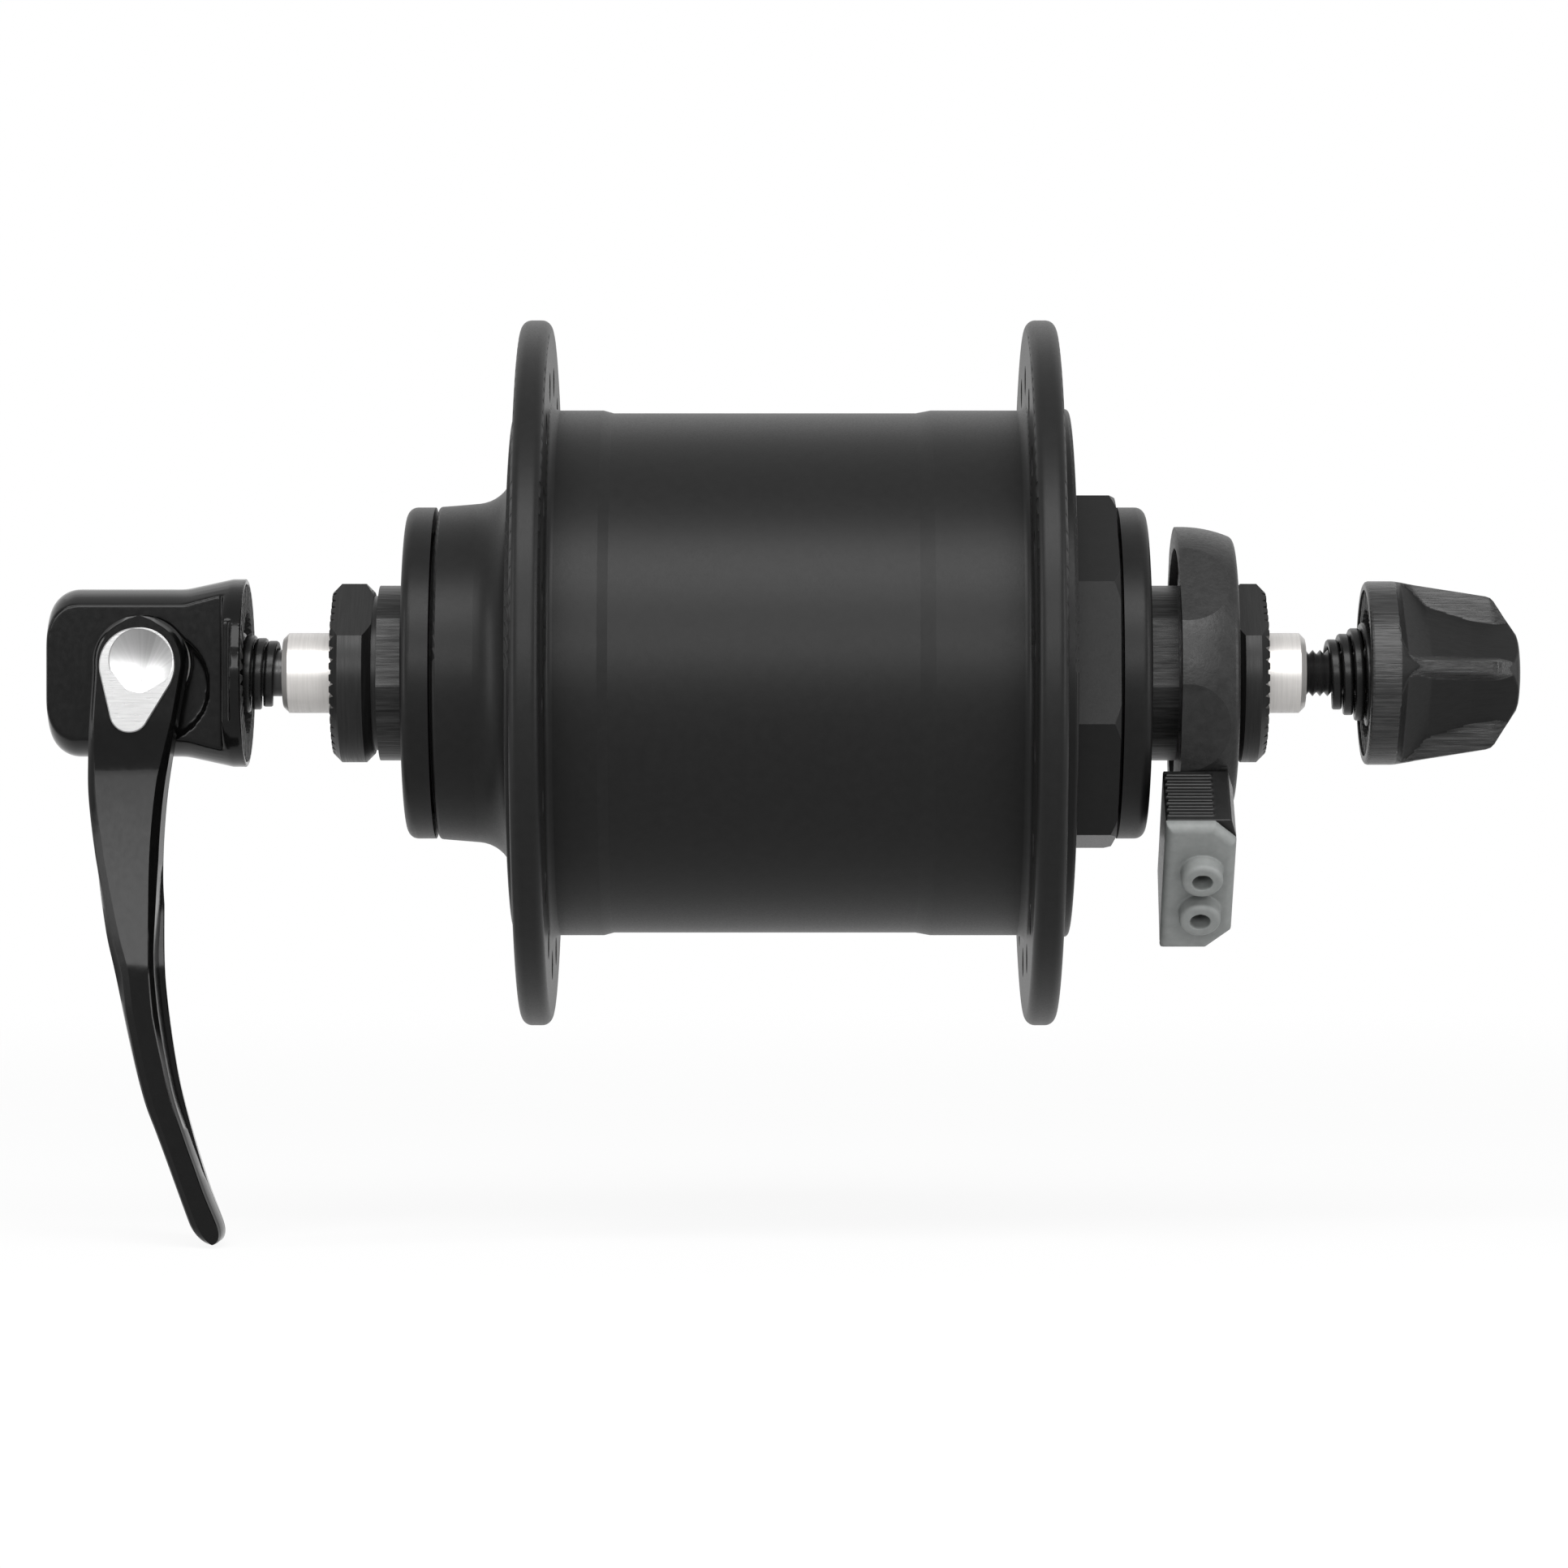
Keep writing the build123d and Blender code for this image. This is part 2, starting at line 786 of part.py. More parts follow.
blade_places = (blade_first, blade_first + blade_pitch)
foot_start = terminal_in
foot_end = plug_right - foot_side
with BuildPart() as terminal_housing:
    with BuildSketch(Plane.XZ) as crowned:
        with BuildLine():
            edge = (terminal_out, terminal_edge_r)
            rim = (terminal_in, terminal_r)
            Polyline(rim, (terminal_in, axle_r + seat_fit), (terminal_out, axle_r + seat_fit), edge)
            ThreePointArc(edge, ((terminal_in + terminal_out) / 2, terminal_crown_r), rim)
        make_face()
    revolve(crowned.sketch, axis=Axis.X)
    fillet(edges_at(terminal_out, terminal_edge_r), terminal_round)
    facets(
        terminal_in - overrun,
        terminal_out + overrun,
        terminal_flat_reach,
        terminal_flat_turns,
        terminal_r / 2,
    )
    tube(terminal_in, terminal_in + terminal_recess_t, terminal_recess_r, cone_head_r,
         mode=Mode.SUBTRACT)
    with BuildSketch(plug_plane(foot_reach)) as foot:
        with Locations(((foot_start + foot_end) / 2, down(foot_len / 2))):
            Rectangle(foot_end - foot_start, foot_len)
    extrude(foot.sketch, amount=-foot_depth)
    tube(terminal_in - overrun, terminal_out + overrun, axle_r + seat_fit, axle_bore_r,
         mode=Mode.SUBTRACT)
    with BuildSketch(plug_plane(blade_root)) as pockets:
        for place in blade_places:
            with Locations((blade_line, down(place))):
                Rectangle(blade_w + seat_fit * 2, blade_t + seat_fit * 2)
    extrude(pockets.sketch, amount=foot_reach, mode=Mode.SUBTRACT)
    with BuildSketch(plug_plane(blade_root)) as shelf:
        with Locations((blade_line, down(blade_first / 2))):
            Rectangle(blade_w + seat_fit * 2, blade_first + blade_t + seat_fit * 2)
    extrude(shelf.sketch, amount=blade_t + seat_fit, mode=Mode.SUBTRACT)
    with BuildSketch(plug_plane(axle_bore_r)) as riser:
        with Locations((blade_line - wire_bend_r / 2, 0)):
            SlotOverall(wire_bend_r + (wire_r + seat_fit) * 2, (wire_r + seat_fit) * 2)
    extrude(riser.sketch, amount=blade_root - axle_bore_r + seat_fit, mode=Mode.SUBTRACT)
save(terminal_housing, "terminal_housing")

with BuildPart() as terminal_contacts:
    with BuildSketch(plug_plane(blade_root)) as blades:
        for place in blade_places:
            with Locations((blade_line, down(place))):
                Rectangle(blade_w, blade_t)
    extrude(blades.sketch, amount=blade_top - blade_root)
    with BuildSketch(plug_plane(blade_root)) as heel:
        with Locations((blade_line, down(blade_first / 2))):
            Rectangle(blade_w, blade_first + blade_t)
    extrude(heel.sketch, amount=blade_t)
save(terminal_contacts, "terminal_contacts")

# Plug body: block with a ribbed shoulder, slots for the contacts and two wire channels
plug_top = plug_seat + plug_t
port_places = (wire_port_first, wire_port_first + wire_port_pitch)


def plug_outline(corner):
    """Corner points of the plug seen square to its face, with its two cut corners."""
    return (
        (plug_left, down(0)),
        (plug_right - corner, down(0)),
        (plug_right, down(plug_corner)),
        (plug_right, down(plug_len - plug_tail_corner)),
        (plug_right - plug_tail_corner, down(plug_len)),
        (plug_left, down(plug_len)),
    )


socket_depth = blade_top + slot_gap * 2
with BuildPart() as plug_body:
    with BuildSketch(plug_plane(plug_seat)) as outline:
        with BuildLine():
            Polyline(*plug_outline(body_corner), close=True)
        make_face()
    extrude(outline.sketch, amount=plug_t)
    tail_plane = Plane(origin=(plug_left, 0, 0), x_dir=along, z_dir=(1, 0, 0))
    tail_up = tail_plane.y_dir.dot(outward)
    with BuildSketch(tail_plane) as tail_cut:
        with BuildLine():
            Polyline(
                (plug_len - plug_tail_drop, (plug_seat - overrun) * tail_up),
                (plug_len - plug_tail_drop, plug_seat * tail_up),
                (plug_len, plug_top * tail_up),
                (plug_len + overrun, (plug_top) * tail_up),
                (plug_len + overrun, (plug_seat - overrun) * tail_up),
                close=True,
            )
        make_face()
    extrude(tail_cut.sketch, amount=plug_right - plug_left, mode=Mode.SUBTRACT)
    rib_len = plug_right - plug_left - rib_land
    shoulder = Plane(
        origin=outward * (plug_top - rib_inset) + Vector(plug_left + rib_len / 2, 0, 0),
        x_dir=(1, 0, 0),
        z_dir=-along,
    )
    rib_up = shoulder.y_dir.dot(outward)
    with BuildSketch(shoulder) as ribs:
        for index in range(rib_count):
            with Locations((0, -(index + half_share) * rib_pitch * rib_up)):
                Rectangle(rib_len - rib_inset, rib_w)
    extrude(ribs.sketch, amount=rib_h)
    with BuildSketch(plug_plane(plug_seat)) as slots:
        for place in blade_places:
            with Locations((blade_line, down(place + socket_t / 2 + slot_gap / 2))):
                Rectangle(blade_w + slot_gap * 2, blade_t + socket_t + slot_gap * 3)
    extrude(slots.sketch, amount=socket_depth - plug_seat, mode=Mode.SUBTRACT)
    with BuildSketch(plug_plane(plug_top)) as channels:
        for place in port_places:
            with Locations((wire_port_line, down(place))):
                Circle(wire_port_core_r)
    extrude(channels.sketch, amount=-(plug_top - socket_depth), mode=Mode.SUBTRACT)
    with BuildSketch(plug_plane(socket_depth)) as bridges:
        for place, port in zip(blade_places, port_places):
            start = place + blade_t / 2 + slot_gap
            with Locations((blade_line, down((start + port) / 2))):
                Rectangle(blade_w + slot_gap * 2, port - start + slot_gap * 2)
    extrude(bridges.sketch, amount=-(socket_t + slot_gap), mode=Mode.SUBTRACT)
save(plug_body, "plug_body")

with BuildPart() as plug_cover:
    with BuildSketch(plug_plane(plug_top)) as face_outline:
        with BuildLine():
            Polyline(*plug_outline(plug_corner), close=True)
        make_face()
    extrude(face_outline.sketch, amount=cover_plate_t)
    top_edges = edges().group_by(Axis(outward * plug_top, outward))[-1]
    fillet(top_edges, cover_edge)
    with BuildSketch(plug_plane(plug_top + cover_plate_t)) as bosses:
        for place in port_places:
            with Locations((wire_port_line, down(place))):
                Circle(wire_boss_r)
    extrude(bosses.sketch, amount=wire_boss_h)
    rims = edges().group_by(Axis(outward * plug_top, outward))[-1]
    fillet(rims, wire_boss_round)
    with BuildSketch(plug_plane(plug_top)) as ports:
        for place in port_places:
            with Locations((wire_port_line, down(place))):
                Circle(wire_port_r)
    extrude(ports.sketch, amount=cover_plate_t + wire_boss_h + overrun, mode=Mode.SUBTRACT)
save(plug_cover, "plug_cover")

with BuildPart() as plug_contacts:
    socket_start = plug_seat + blade_t
    with BuildSketch(plug_plane(socket_start)) as springs:
        for place in blade_places:
            with Locations((blade_line, down(place + blade_t / 2 + running_fit + socket_t / 2))):
                Rectangle(blade_w, socket_t)
    extrude(springs.sketch, amount=socket_depth - socket_start)
    with BuildSketch(plug_plane(socket_depth)) as bridges:
        for place, port in zip(blade_places, port_places):
            start = place + blade_t / 2 + running_fit
            with Locations((blade_line, down((start + port) / 2))):
                Rectangle(blade_w, port - start)
    extrude(bridges.sketch, amount=-socket_t)
save(plug_contacts, "plug_contacts")

# Quick release housing: round body with a flat front, flared into a collar.  Its long
# bore takes the skewer's end, and the cam runs across it in two plain bushings.
pivot = Vector(-pivot_out, 0, pivot_up)
housing_face_x = -housing_face
across = Plane(origin=pivot, x_dir=(1, 0, 0), z_dir=(0, -1, 0))
bushing_r = journal_r + running_fit + bushing_wall
eye_in_w = cam_r + eye_slack
eye_in_h = cam_r + cam_throw + eye_slack
eye_out_w = eye_in_w + eye_wall
eye_out_h = eye_in_h + eye_wall
eye_mid = -pivot_out - cam_throw
cavity_left = eye_mid - eye_out_w - cavity_margin
cavity_right = eye_mid + eye_out_w + cam_throw * 2 + cavity_margin
collar_start = -housing_face - collar_w
with BuildPart() as qr_housing:
    turn(
        (-housing_out, 0),
        (-housing_out, housing_r),
        (collar_start - collar_flare, housing_r),
        (collar_start, collar_r),
        (housing_face_x, collar_r),
        (housing_face_x, 0),
    )
    fillet(edges_at(-housing_out, housing_r), housing_end_round)
    fillet(edges_at(collar_start - collar_flare, housing_r), collar_flare)
    flat_end = collar_start - collar_shoulder
    facets(-housing_out - overrun, flat_end, housing_front, (0,), housing_r)
    facets(-housing_out - overrun, flat_end, housing_back, (180,), housing_r)
    collar_flat_end = housing_face_x - clamp_ring_t - collar_lip
    facets(flat_end, collar_flat_end, collar_flat_reach, (0,), collar_r)
    tube(housing_face_x, housing_face_x - clamp_ring_t, clamp_ring_r + seat_fit, 0,
         mode=Mode.SUBTRACT)
    tube(housing_face_x, housing_face_x - spring_pocket_depth, spring_pocket_r, 0,
         mode=Mode.SUBTRACT)
    tube(housing_face_x, cavity_right - overrun, rod_bore_r, 0, mode=Mode.SUBTRACT)
    with BuildSketch(Plane.XZ) as cavity:
        with Locations(((cavity_left + cavity_right) / 2, pivot_up)):
            Rectangle(cavity_right - cavity_left, (eye_out_h + cavity_margin) * 2)
    extrude(cavity.sketch, amount=cavity_half_w, both=True, mode=Mode.SUBTRACT)
    with BuildSketch(across.offset(housing_front)) as scoop:
        with Locations((scoop_shift, -scoop_drop)):
            Circle(scoop_r)
    extrude(scoop.sketch, amount=-scoop_depth, mode=Mode.SUBTRACT)
    with BuildSketch(across) as cross_bore:
        Circle(bushing_r + seat_fit)
    extrude(cross_bore.sketch, amount=housing_r + overrun, both=True, mode=Mode.SUBTRACT)
save(qr_housing, "qr_housing")

with BuildPart() as qr_clamp_ring:
    tube(housing_face_x, housing_face_x - clamp_ring_t, clamp_ring_r, clamp_ring_bore_r)
    serrate(housing_face_x, 1, clamp_ring_bore_r - overrun, clamp_ring_r, clamp_tooth_depth,
            clamp_teeth)
save(qr_clamp_ring, "qr_clamp_ring")

with BuildPart() as cam_bushings:
    for start, length, way in (
        (housing_front, housing_front - cavity_half_w, 1),
        (-housing_back, housing_back - cavity_half_w, -1),
    ):
        with BuildSketch(across.offset(start)) as ring:
            Circle(bushing_r)
            Circle(journal_r + running_fit, mode=Mode.SUBTRACT)
        extrude(ring.sketch, amount=-way * length)
save(cam_bushings, "cam_bushings")

# Cam shaft: two journals with the cam between them, thrown away from the hub
cam_half = cavity_half_w - slot_gap
shaft_front = housing_front + lever_clear + lever_t / 2
with BuildPart() as cam_shaft:
    with BuildSketch(across.offset(cam_half)) as front_journal:
        Circle(journal_r)
    extrude(front_journal.sketch, amount=shaft_front - cam_half)
    with BuildSketch(across.offset(-cam_half)) as back_journal:
        Circle(journal_r)
    extrude(back_journal.sketch, amount=-(housing_back + lever_clear - cam_half))
    with BuildSketch(across.offset(-cam_half)) as cam:
        with Locations((-cam_throw, 0)):
            Circle(cam_r)
    extrude(cam.sketch, amount=cam_half * 2)
save(cam_shaft, "cam_shaft")

cap_start = -(housing_back + lever_clear)
with BuildPart() as cam_cap:
    with BuildSketch(across.offset(cap_start)) as disc:
        Circle(cap_r)
    extrude(disc.sketch, amount=-cap_t)
    back_rim = edges().filter_by(GeomType.CIRCLE).sort_by(Axis.Y)[-1]
    fillet(back_rim, cap_t / 2)
save(cam_cap, "cam_cap")

# Lever.  Its outline is drawn in shares of the reach from the pivot to the tip: sideways
# from the pivot towards the hub, and down.
lever_outer_shares = (
    (-0.0918, 0.1888),
    (-0.0709, 0.4),
    (-0.0455, 0.55),
    (-0.0083, 0.7),
    (0.0265, 0.8),
    (0.0585, 0.9),
    (0.1017, 0.985),
)
lever_inner_shares = (
    (0.1350, 0.985),
    (0.1080, 0.9),
    (0.0790, 0.8),
    (0.0600, 0.7),
    (0.0470, 0.6),
    (0.0430, 0.5),
    (0.0440, 0.35),
    (0.0490, 0.1888),
)
lever_tip_shares = (0.1184, 1.0)
paddle_start_share = 0.36
paddle_full_share = 0.62
lever_front = housing_front + lever_clear + lever_t
lever_back = housing_front + lever_clear


def on_lever(shares):
    """A point of the lever's outline from its shares of the reach."""
    return (shares[0] * lever_reach, -shares[1] * lever_reach)


with BuildPart() as qr_lever:
    with BuildSketch(across.offset(lever_front)) as outline:
        with BuildLine():
            head_left = (-lever_head_r, 0)
            head_right = (lever_head_r, 0)
            outer_start = on_lever(lever_outer_shares[0])
            inner_end = on_lever(lever_inner_shares[-1])
            ThreePointArc(head_left, (0, lever_head_r), head_right)
            Line(head_left, outer_start)
            outer = Spline(*[on_lever(shares) for shares in lever_outer_shares])
            inner = Spline(*[on_lever(shares) for shares in lever_inner_shares])
            ThreePointArc(outer @ 1, on_lever(lever_tip_shares), inner @ 0)
            Line(inner_end, head_right)
        make_face()
    extrude(outline.sketch, amount=-(lever_front + lever_paddle_back))
    with BuildSketch(Plane.YZ.offset(-pivot_out)) as side_view:
        with BuildLine():
            paddle_start = pivot_up - paddle_start_share * lever_reach
            paddle_full = pivot_up - paddle_full_share * lever_reach
            paddle_end = pivot_up - lever_reach
            mouth = pivot_up + lever_head_r + overrun
            Polyline(
                (-lever_front, mouth),
                (-lever_back, mouth),
                (-lever_back, paddle_start),
                (lever_paddle_back, paddle_full),
                (lever_paddle_back, paddle_end),
                (-lever_front, paddle_end),
                close=True,
            )
        make_face()
        fillet(side_view.vertices().group_by(Axis.Y)[0], lever_corner_r)
    extrude(side_view.sketch, amount=lever_reach, both=True, mode=Mode.INTERSECT)
    with BuildSketch(across.offset(lever_back)) as socket:
        Circle(journal_r + seat_fit)
    extrude(socket.sketch, amount=lever_t / 2 + seat_fit, mode=Mode.SUBTRACT)
    with BuildSketch(across.offset(lever_front - badge_t + badge_proud)) as badge_seat:
        Circle(badge_r + seat_fit)
        with Locations((badge_slant, -badge_drop)):
            Circle(badge_small_r + seat_fit)
        make_hull()
    extrude(badge_seat.sketch, amount=badge_t + overrun, mode=Mode.SUBTRACT)
save(qr_lever, "qr_lever")

with BuildPart() as lever_badge:
    with BuildSketch(across.offset(lever_front - badge_t + badge_proud)) as drop:
        Circle(badge_r)
        with Locations((badge_slant, -badge_drop)):
            Circle(badge_small_r)
        make_hull()
    extrude(drop.sketch, amount=badge_t)
    dish_ball = (badge_dish_r**2 + badge_dish_depth**2) / (badge_dish_depth * 2)
    dish = pivot + Vector(0, -(lever_front + badge_proud + dish_ball - badge_dish_depth), 0)
    with Locations(dish):
        Sphere(dish_ball, mode=Mode.SUBTRACT)
save(lever_badge, "lever_badge")

# Skewer: threaded rod with an eye around the cam
with BuildPart() as skewer_rod:
    crest = rod_r
    valley = rod_r - thread_depth
    thread = [(rod_tip, 0), (rod_tip, valley)]
    turns = int((rod_tip - thread_start) / thread_pitch)
    for index in range(turns):
        place = rod_tip - index * thread_pitch
        thread.append((place - thread_pitch / 2, crest))
        thread.append((place - thread_pitch, valley))
    thread_end = rod_tip - turns * thread_pitch
    eye_side = eye_mid + eye_in_w + eye_wall / 2
    turn(*thread, (thread_end - thread_depth, crest), (eye_side, crest), (eye_side, 0))
    with BuildSketch(Plane.XZ) as eye:
        with Locations((eye_mid, pivot_up)):
            Rectangle(eye_out_w * 2, eye_out_h * 2)
            fillet(eye.vertices(), eye_round)
        with Locations((eye_mid, pivot_up)):
            Rectangle(eye_in_w * 2, eye_in_h * 2, mode=Mode.SUBTRACT)
    extrude(eye.sketch, amount=eye_half_w, both=True)
save(skewer_rod, "skewer_rod")


# Springs: conical, one unbroken round wire on biarcs of half a turn
def conical_spring(start, start_r, grow, way):
    """Spring from its small end at start, growing in radius, running along the axle by way."""

    def place(half):
        angle = half * pi
        r = start_r + grow * half / 2
        return Vector(start + way * spring_pitch * half / 2, r * cos(angle), r * sin(angle))

    def heading(half):
        angle = half * pi
        r = start_r + grow * half / 2
        ahead = Vector(
            way * spring_pitch / 2 / pi,
            grow / 2 / pi * cos(angle) - r * sin(angle),
            grow / 2 / pi * sin(angle) + r * cos(angle),
        )
        return ahead.normalized()

    with BuildPart() as coil:
        with BuildLine() as line:
            for half in range(spring_half_turns):
                for step in (0, half_share):
                    first, last = half + step, half + step + half_share
                    begin, end = place(first), place(last)
                    leave, arrive = heading(first), heading(last)
                    chord = end - begin
                    both = leave + arrive
                    bend = 2 * (1 - leave.dot(arrive))
                    reach = sqrt(chord.dot(both) ** 2 + bend * chord.dot(chord))
                    reach = (reach - chord.dot(both)) / bend
                    join = (begin + leave * reach + end - arrive * reach) / 2
                    turn_dir = (end - arrive * reach) - (begin + leave * reach)
                    TangentArc(begin, join, tangent=leave)
                    TangentArc(join, end, tangent=turn_dir.normalized())
        with BuildSketch(Plane(line.line @ 0, z_dir=line.line % 0)) as wire:
            Circle(wire_d / 2)
        sweep(wire.sketch, path=line.line)
    samples = half_samples * spring_half_turns
    points = [line.line @ (i / samples) for i in range(samples + 1)]
    skip = half_samples
    least = min(
        (points[i] - points[j]).length
        for i in range(len(points))
        for j in range(i + skip, len(points))
    )
    print("least gap of a spring to itself:", round(least - wire_d, 3))
    return coil


save(conical_spring(-left_spring_start, left_spring_r, left_spring_grow, -1), "left_spring")
save(conical_spring(right_spring_start, right_spring_r, right_spring_grow, 1), "right_spring")

# Adjusting nut: tapered grip with ribs between sunk flats, a toothed face ring and an insert
nut_side = nut_face + nut_rim_w
nut_side_len = nut_tip - nut_side
floor_middle = nut_side + nut_side_len * nut_floor_middle_share
with BuildPart() as nut_hollow:
    with BuildSketch(Plane.XZ) as hollow_side:
        with BuildLine():
            floor = Spline(
                (nut_side + nut_shoulder_run, nut_floor_start),
                (floor_middle, nut_floor_middle),
                (nut_tip, nut_floor_end),
            )
            Polyline(
                floor @ 1,
                (nut_tip + overrun, nut_floor_end),
                (nut_tip + overrun, nut_r * 2),
                (nut_side, nut_r * 2),
                (nut_side, nut_r),
                floor @ 0,
            )
        make_face()
    extrude(hollow_side.sketch, amount=nut_r * 2, both=True)
    with BuildSketch(Plane.YZ.offset(nut_face)) as quarter:
        with Locations(Location((0, 0), 45)):
            with Locations((nut_rib_w / 2 + nut_r, nut_rib_w / 2 + nut_r)):
                Rectangle(nut_r * 2, nut_r * 2)
    extrude(quarter.sketch, amount=nut_tip - nut_face + overrun * 2, mode=Mode.INTERSECT)

with BuildPart() as adjusting_nut:
    turn(
        (nut_face, 0),
        (nut_face, nut_r),
        (nut_side, nut_r),
        (nut_waist, nut_waist_r),
        (nut_tip, nut_tip_r),
        (nut_tip, 0),
    )
    fillet(edges_at(nut_waist, nut_waist_r) + edges_at(nut_tip, nut_tip_r), nut_tip_round)
    for index in range(nut_ribs):
        between = nut_rib_turn + 360 / nut_ribs * (index + half_share)
        add(nut_hollow.part.rotate(Axis.X, 90 - between), mode=Mode.SUBTRACT)
    ring_back = nut_face + nut_ring_inset + nut_ring_t
    pocket_back = ring_back + nut_pocket_t
    insert_end = pocket_back + insert_len
    tube(nut_face, ring_back, nut_ring_r + running_fit, 0, mode=Mode.SUBTRACT)
    tube(nut_face, pocket_back, nut_pocket_r, 0, mode=Mode.SUBTRACT)
    tube(nut_face, insert_end, insert_r + seat_fit, 0, mode=Mode.SUBTRACT)
    tube(nut_face, nut_blind_end, rod_r + running_fit, 0, mode=Mode.SUBTRACT)
save(adjusting_nut, "adjusting_nut")

with BuildPart() as nut_insert:
    tube(pocket_back, insert_end, insert_r, rod_r + running_fit)
save(nut_insert, "nut_insert")

with BuildPart() as nut_face_ring:
    tube(nut_face + nut_ring_inset, ring_back, nut_ring_r, nut_ring_bore_r)
    serrate(nut_face + nut_ring_inset, -1, nut_ring_bore_r - overrun, nut_ring_r,
            clamp_tooth_depth, clamp_teeth)
save(nut_face_ring, "nut_face_ring")
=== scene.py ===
import json
import math
import bmesh
import bpy
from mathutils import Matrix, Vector

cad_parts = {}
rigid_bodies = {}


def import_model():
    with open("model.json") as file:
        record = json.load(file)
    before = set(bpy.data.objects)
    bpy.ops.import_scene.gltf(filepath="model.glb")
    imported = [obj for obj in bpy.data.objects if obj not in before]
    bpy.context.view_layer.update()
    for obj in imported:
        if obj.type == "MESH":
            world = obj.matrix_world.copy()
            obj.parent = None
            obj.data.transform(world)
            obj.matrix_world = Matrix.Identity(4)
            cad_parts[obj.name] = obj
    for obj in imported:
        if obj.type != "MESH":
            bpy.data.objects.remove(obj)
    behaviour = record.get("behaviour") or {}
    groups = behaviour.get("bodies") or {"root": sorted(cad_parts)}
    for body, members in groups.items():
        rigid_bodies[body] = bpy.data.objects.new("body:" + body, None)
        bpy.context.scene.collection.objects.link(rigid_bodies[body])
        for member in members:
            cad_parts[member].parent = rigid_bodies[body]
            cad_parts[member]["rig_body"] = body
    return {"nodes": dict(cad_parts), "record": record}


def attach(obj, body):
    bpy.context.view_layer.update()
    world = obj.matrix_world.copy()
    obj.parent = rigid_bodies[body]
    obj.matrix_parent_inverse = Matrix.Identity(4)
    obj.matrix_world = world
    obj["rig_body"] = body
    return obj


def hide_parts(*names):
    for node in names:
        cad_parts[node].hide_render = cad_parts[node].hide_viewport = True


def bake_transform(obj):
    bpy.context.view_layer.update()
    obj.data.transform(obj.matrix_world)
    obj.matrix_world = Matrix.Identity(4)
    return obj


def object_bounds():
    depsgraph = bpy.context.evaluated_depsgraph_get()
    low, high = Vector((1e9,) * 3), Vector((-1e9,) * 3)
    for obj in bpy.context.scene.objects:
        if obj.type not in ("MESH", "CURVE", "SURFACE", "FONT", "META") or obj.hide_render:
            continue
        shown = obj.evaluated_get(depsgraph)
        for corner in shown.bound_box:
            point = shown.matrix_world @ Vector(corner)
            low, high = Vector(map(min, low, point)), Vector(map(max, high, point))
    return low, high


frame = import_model()
cad_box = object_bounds()
MM = 0.001
FULL_TURN = 2 * math.pi
ALONG = Vector((1, 0, 0))

# Materials.  Noise is read between these two levels, where most of its values lie.
NOISE_LOW, NOISE_HIGH = 0.3, 0.7
NOISE_ROUGHNESS = 0.6


def node_tree(name):
    material = bpy.data.materials.new(name)
    material.use_nodes = True
    tree = material.node_tree
    return material, tree, tree.nodes["Principled BSDF"]


def add(tree, kind, **values):
    node = tree.nodes.new(kind)
    for key, value in values.items():
        setattr(node, key, value)
    return node


def grain(tree, scale, stretch, detail=4.0):
    """Noise in object space; scale is features per metre, stretch turns it into brushing."""
    coords = add(tree, "ShaderNodeTexCoord")
    mapping = add(tree, "ShaderNodeMapping")
    mapping.inputs["Scale"].default_value = stretch
    noise = add(tree, "ShaderNodeTexNoise")
    noise.inputs["Scale"].default_value = scale
    noise.inputs["Detail"].default_value = detail
    noise.inputs["Roughness"].default_value = NOISE_ROUGHNESS
    tree.links.new(coords.outputs["Object"], mapping.inputs["Vector"])
    tree.links.new(mapping.outputs["Vector"], noise.inputs["Vector"])
    return noise


def ramp(tree, source, stops):
    """A colour ramp over a value, from (place, colour) stops."""
    node = add(tree, "ShaderNodeValToRGB")
    while len(node.color_ramp.elements) < len(stops):
        node.color_ramp.elements.new(0.5)
    for element, (place, colour) in zip(node.color_ramp.elements, stops):
        element.position = place
        element.color = (*colour, 1)
    tree.links.new(source, node.inputs["Fac"])
    return node


def surface(
    name,
    dark,
    light,
    rough,
    metallic=0.0,
    specular=0.5,
    scale=900.0,
    stretch=(1, 1, 1),
    bump=0.1,
    bump_scale=3000.0,
    bump_depth=0.02,
):
    """Base colour between dark and light, roughness between two values, and a fine bump.

    The scales are features per metre and the bump's depth is in mm.
    """
    material, tree, shader = node_tree(name)
    patches = grain(tree, scale, stretch)
    colour = ramp(tree, patches.outputs["Fac"], ((NOISE_LOW, dark), (NOISE_HIGH, light)))
    tree.links.new(colour.outputs["Color"], shader.inputs["Base Color"])
    fine = grain(tree, bump_scale, stretch, detail=2.0)
    spread = add(tree, "ShaderNodeMapRange")
    spread.inputs["From Min"].default_value = NOISE_LOW
    spread.inputs["From Max"].default_value = NOISE_HIGH
    spread.inputs["To Min"].default_value = rough[0]
    spread.inputs["To Max"].default_value = rough[1]
    tree.links.new(fine.outputs["Fac"], spread.inputs["Value"])
    tree.links.new(spread.outputs["Result"], shader.inputs["Roughness"])
    shader.inputs["Metallic"].default_value = metallic
    shader.inputs["Specular IOR Level"].default_value = specular
    relief = add(tree, "ShaderNodeBump")
    relief.inputs["Strength"].default_value = bump
    relief.inputs["Distance"].default_value = bump_depth * MM
    tree.links.new(fine.outputs["Fac"], relief.inputs["Height"])
    tree.links.new(relief.outputs["Normal"], shader.inputs["Normal"])
    return material


def grey(value, warm=0.0):
    return (value * (1 + warm), value, value * (1 - warm))


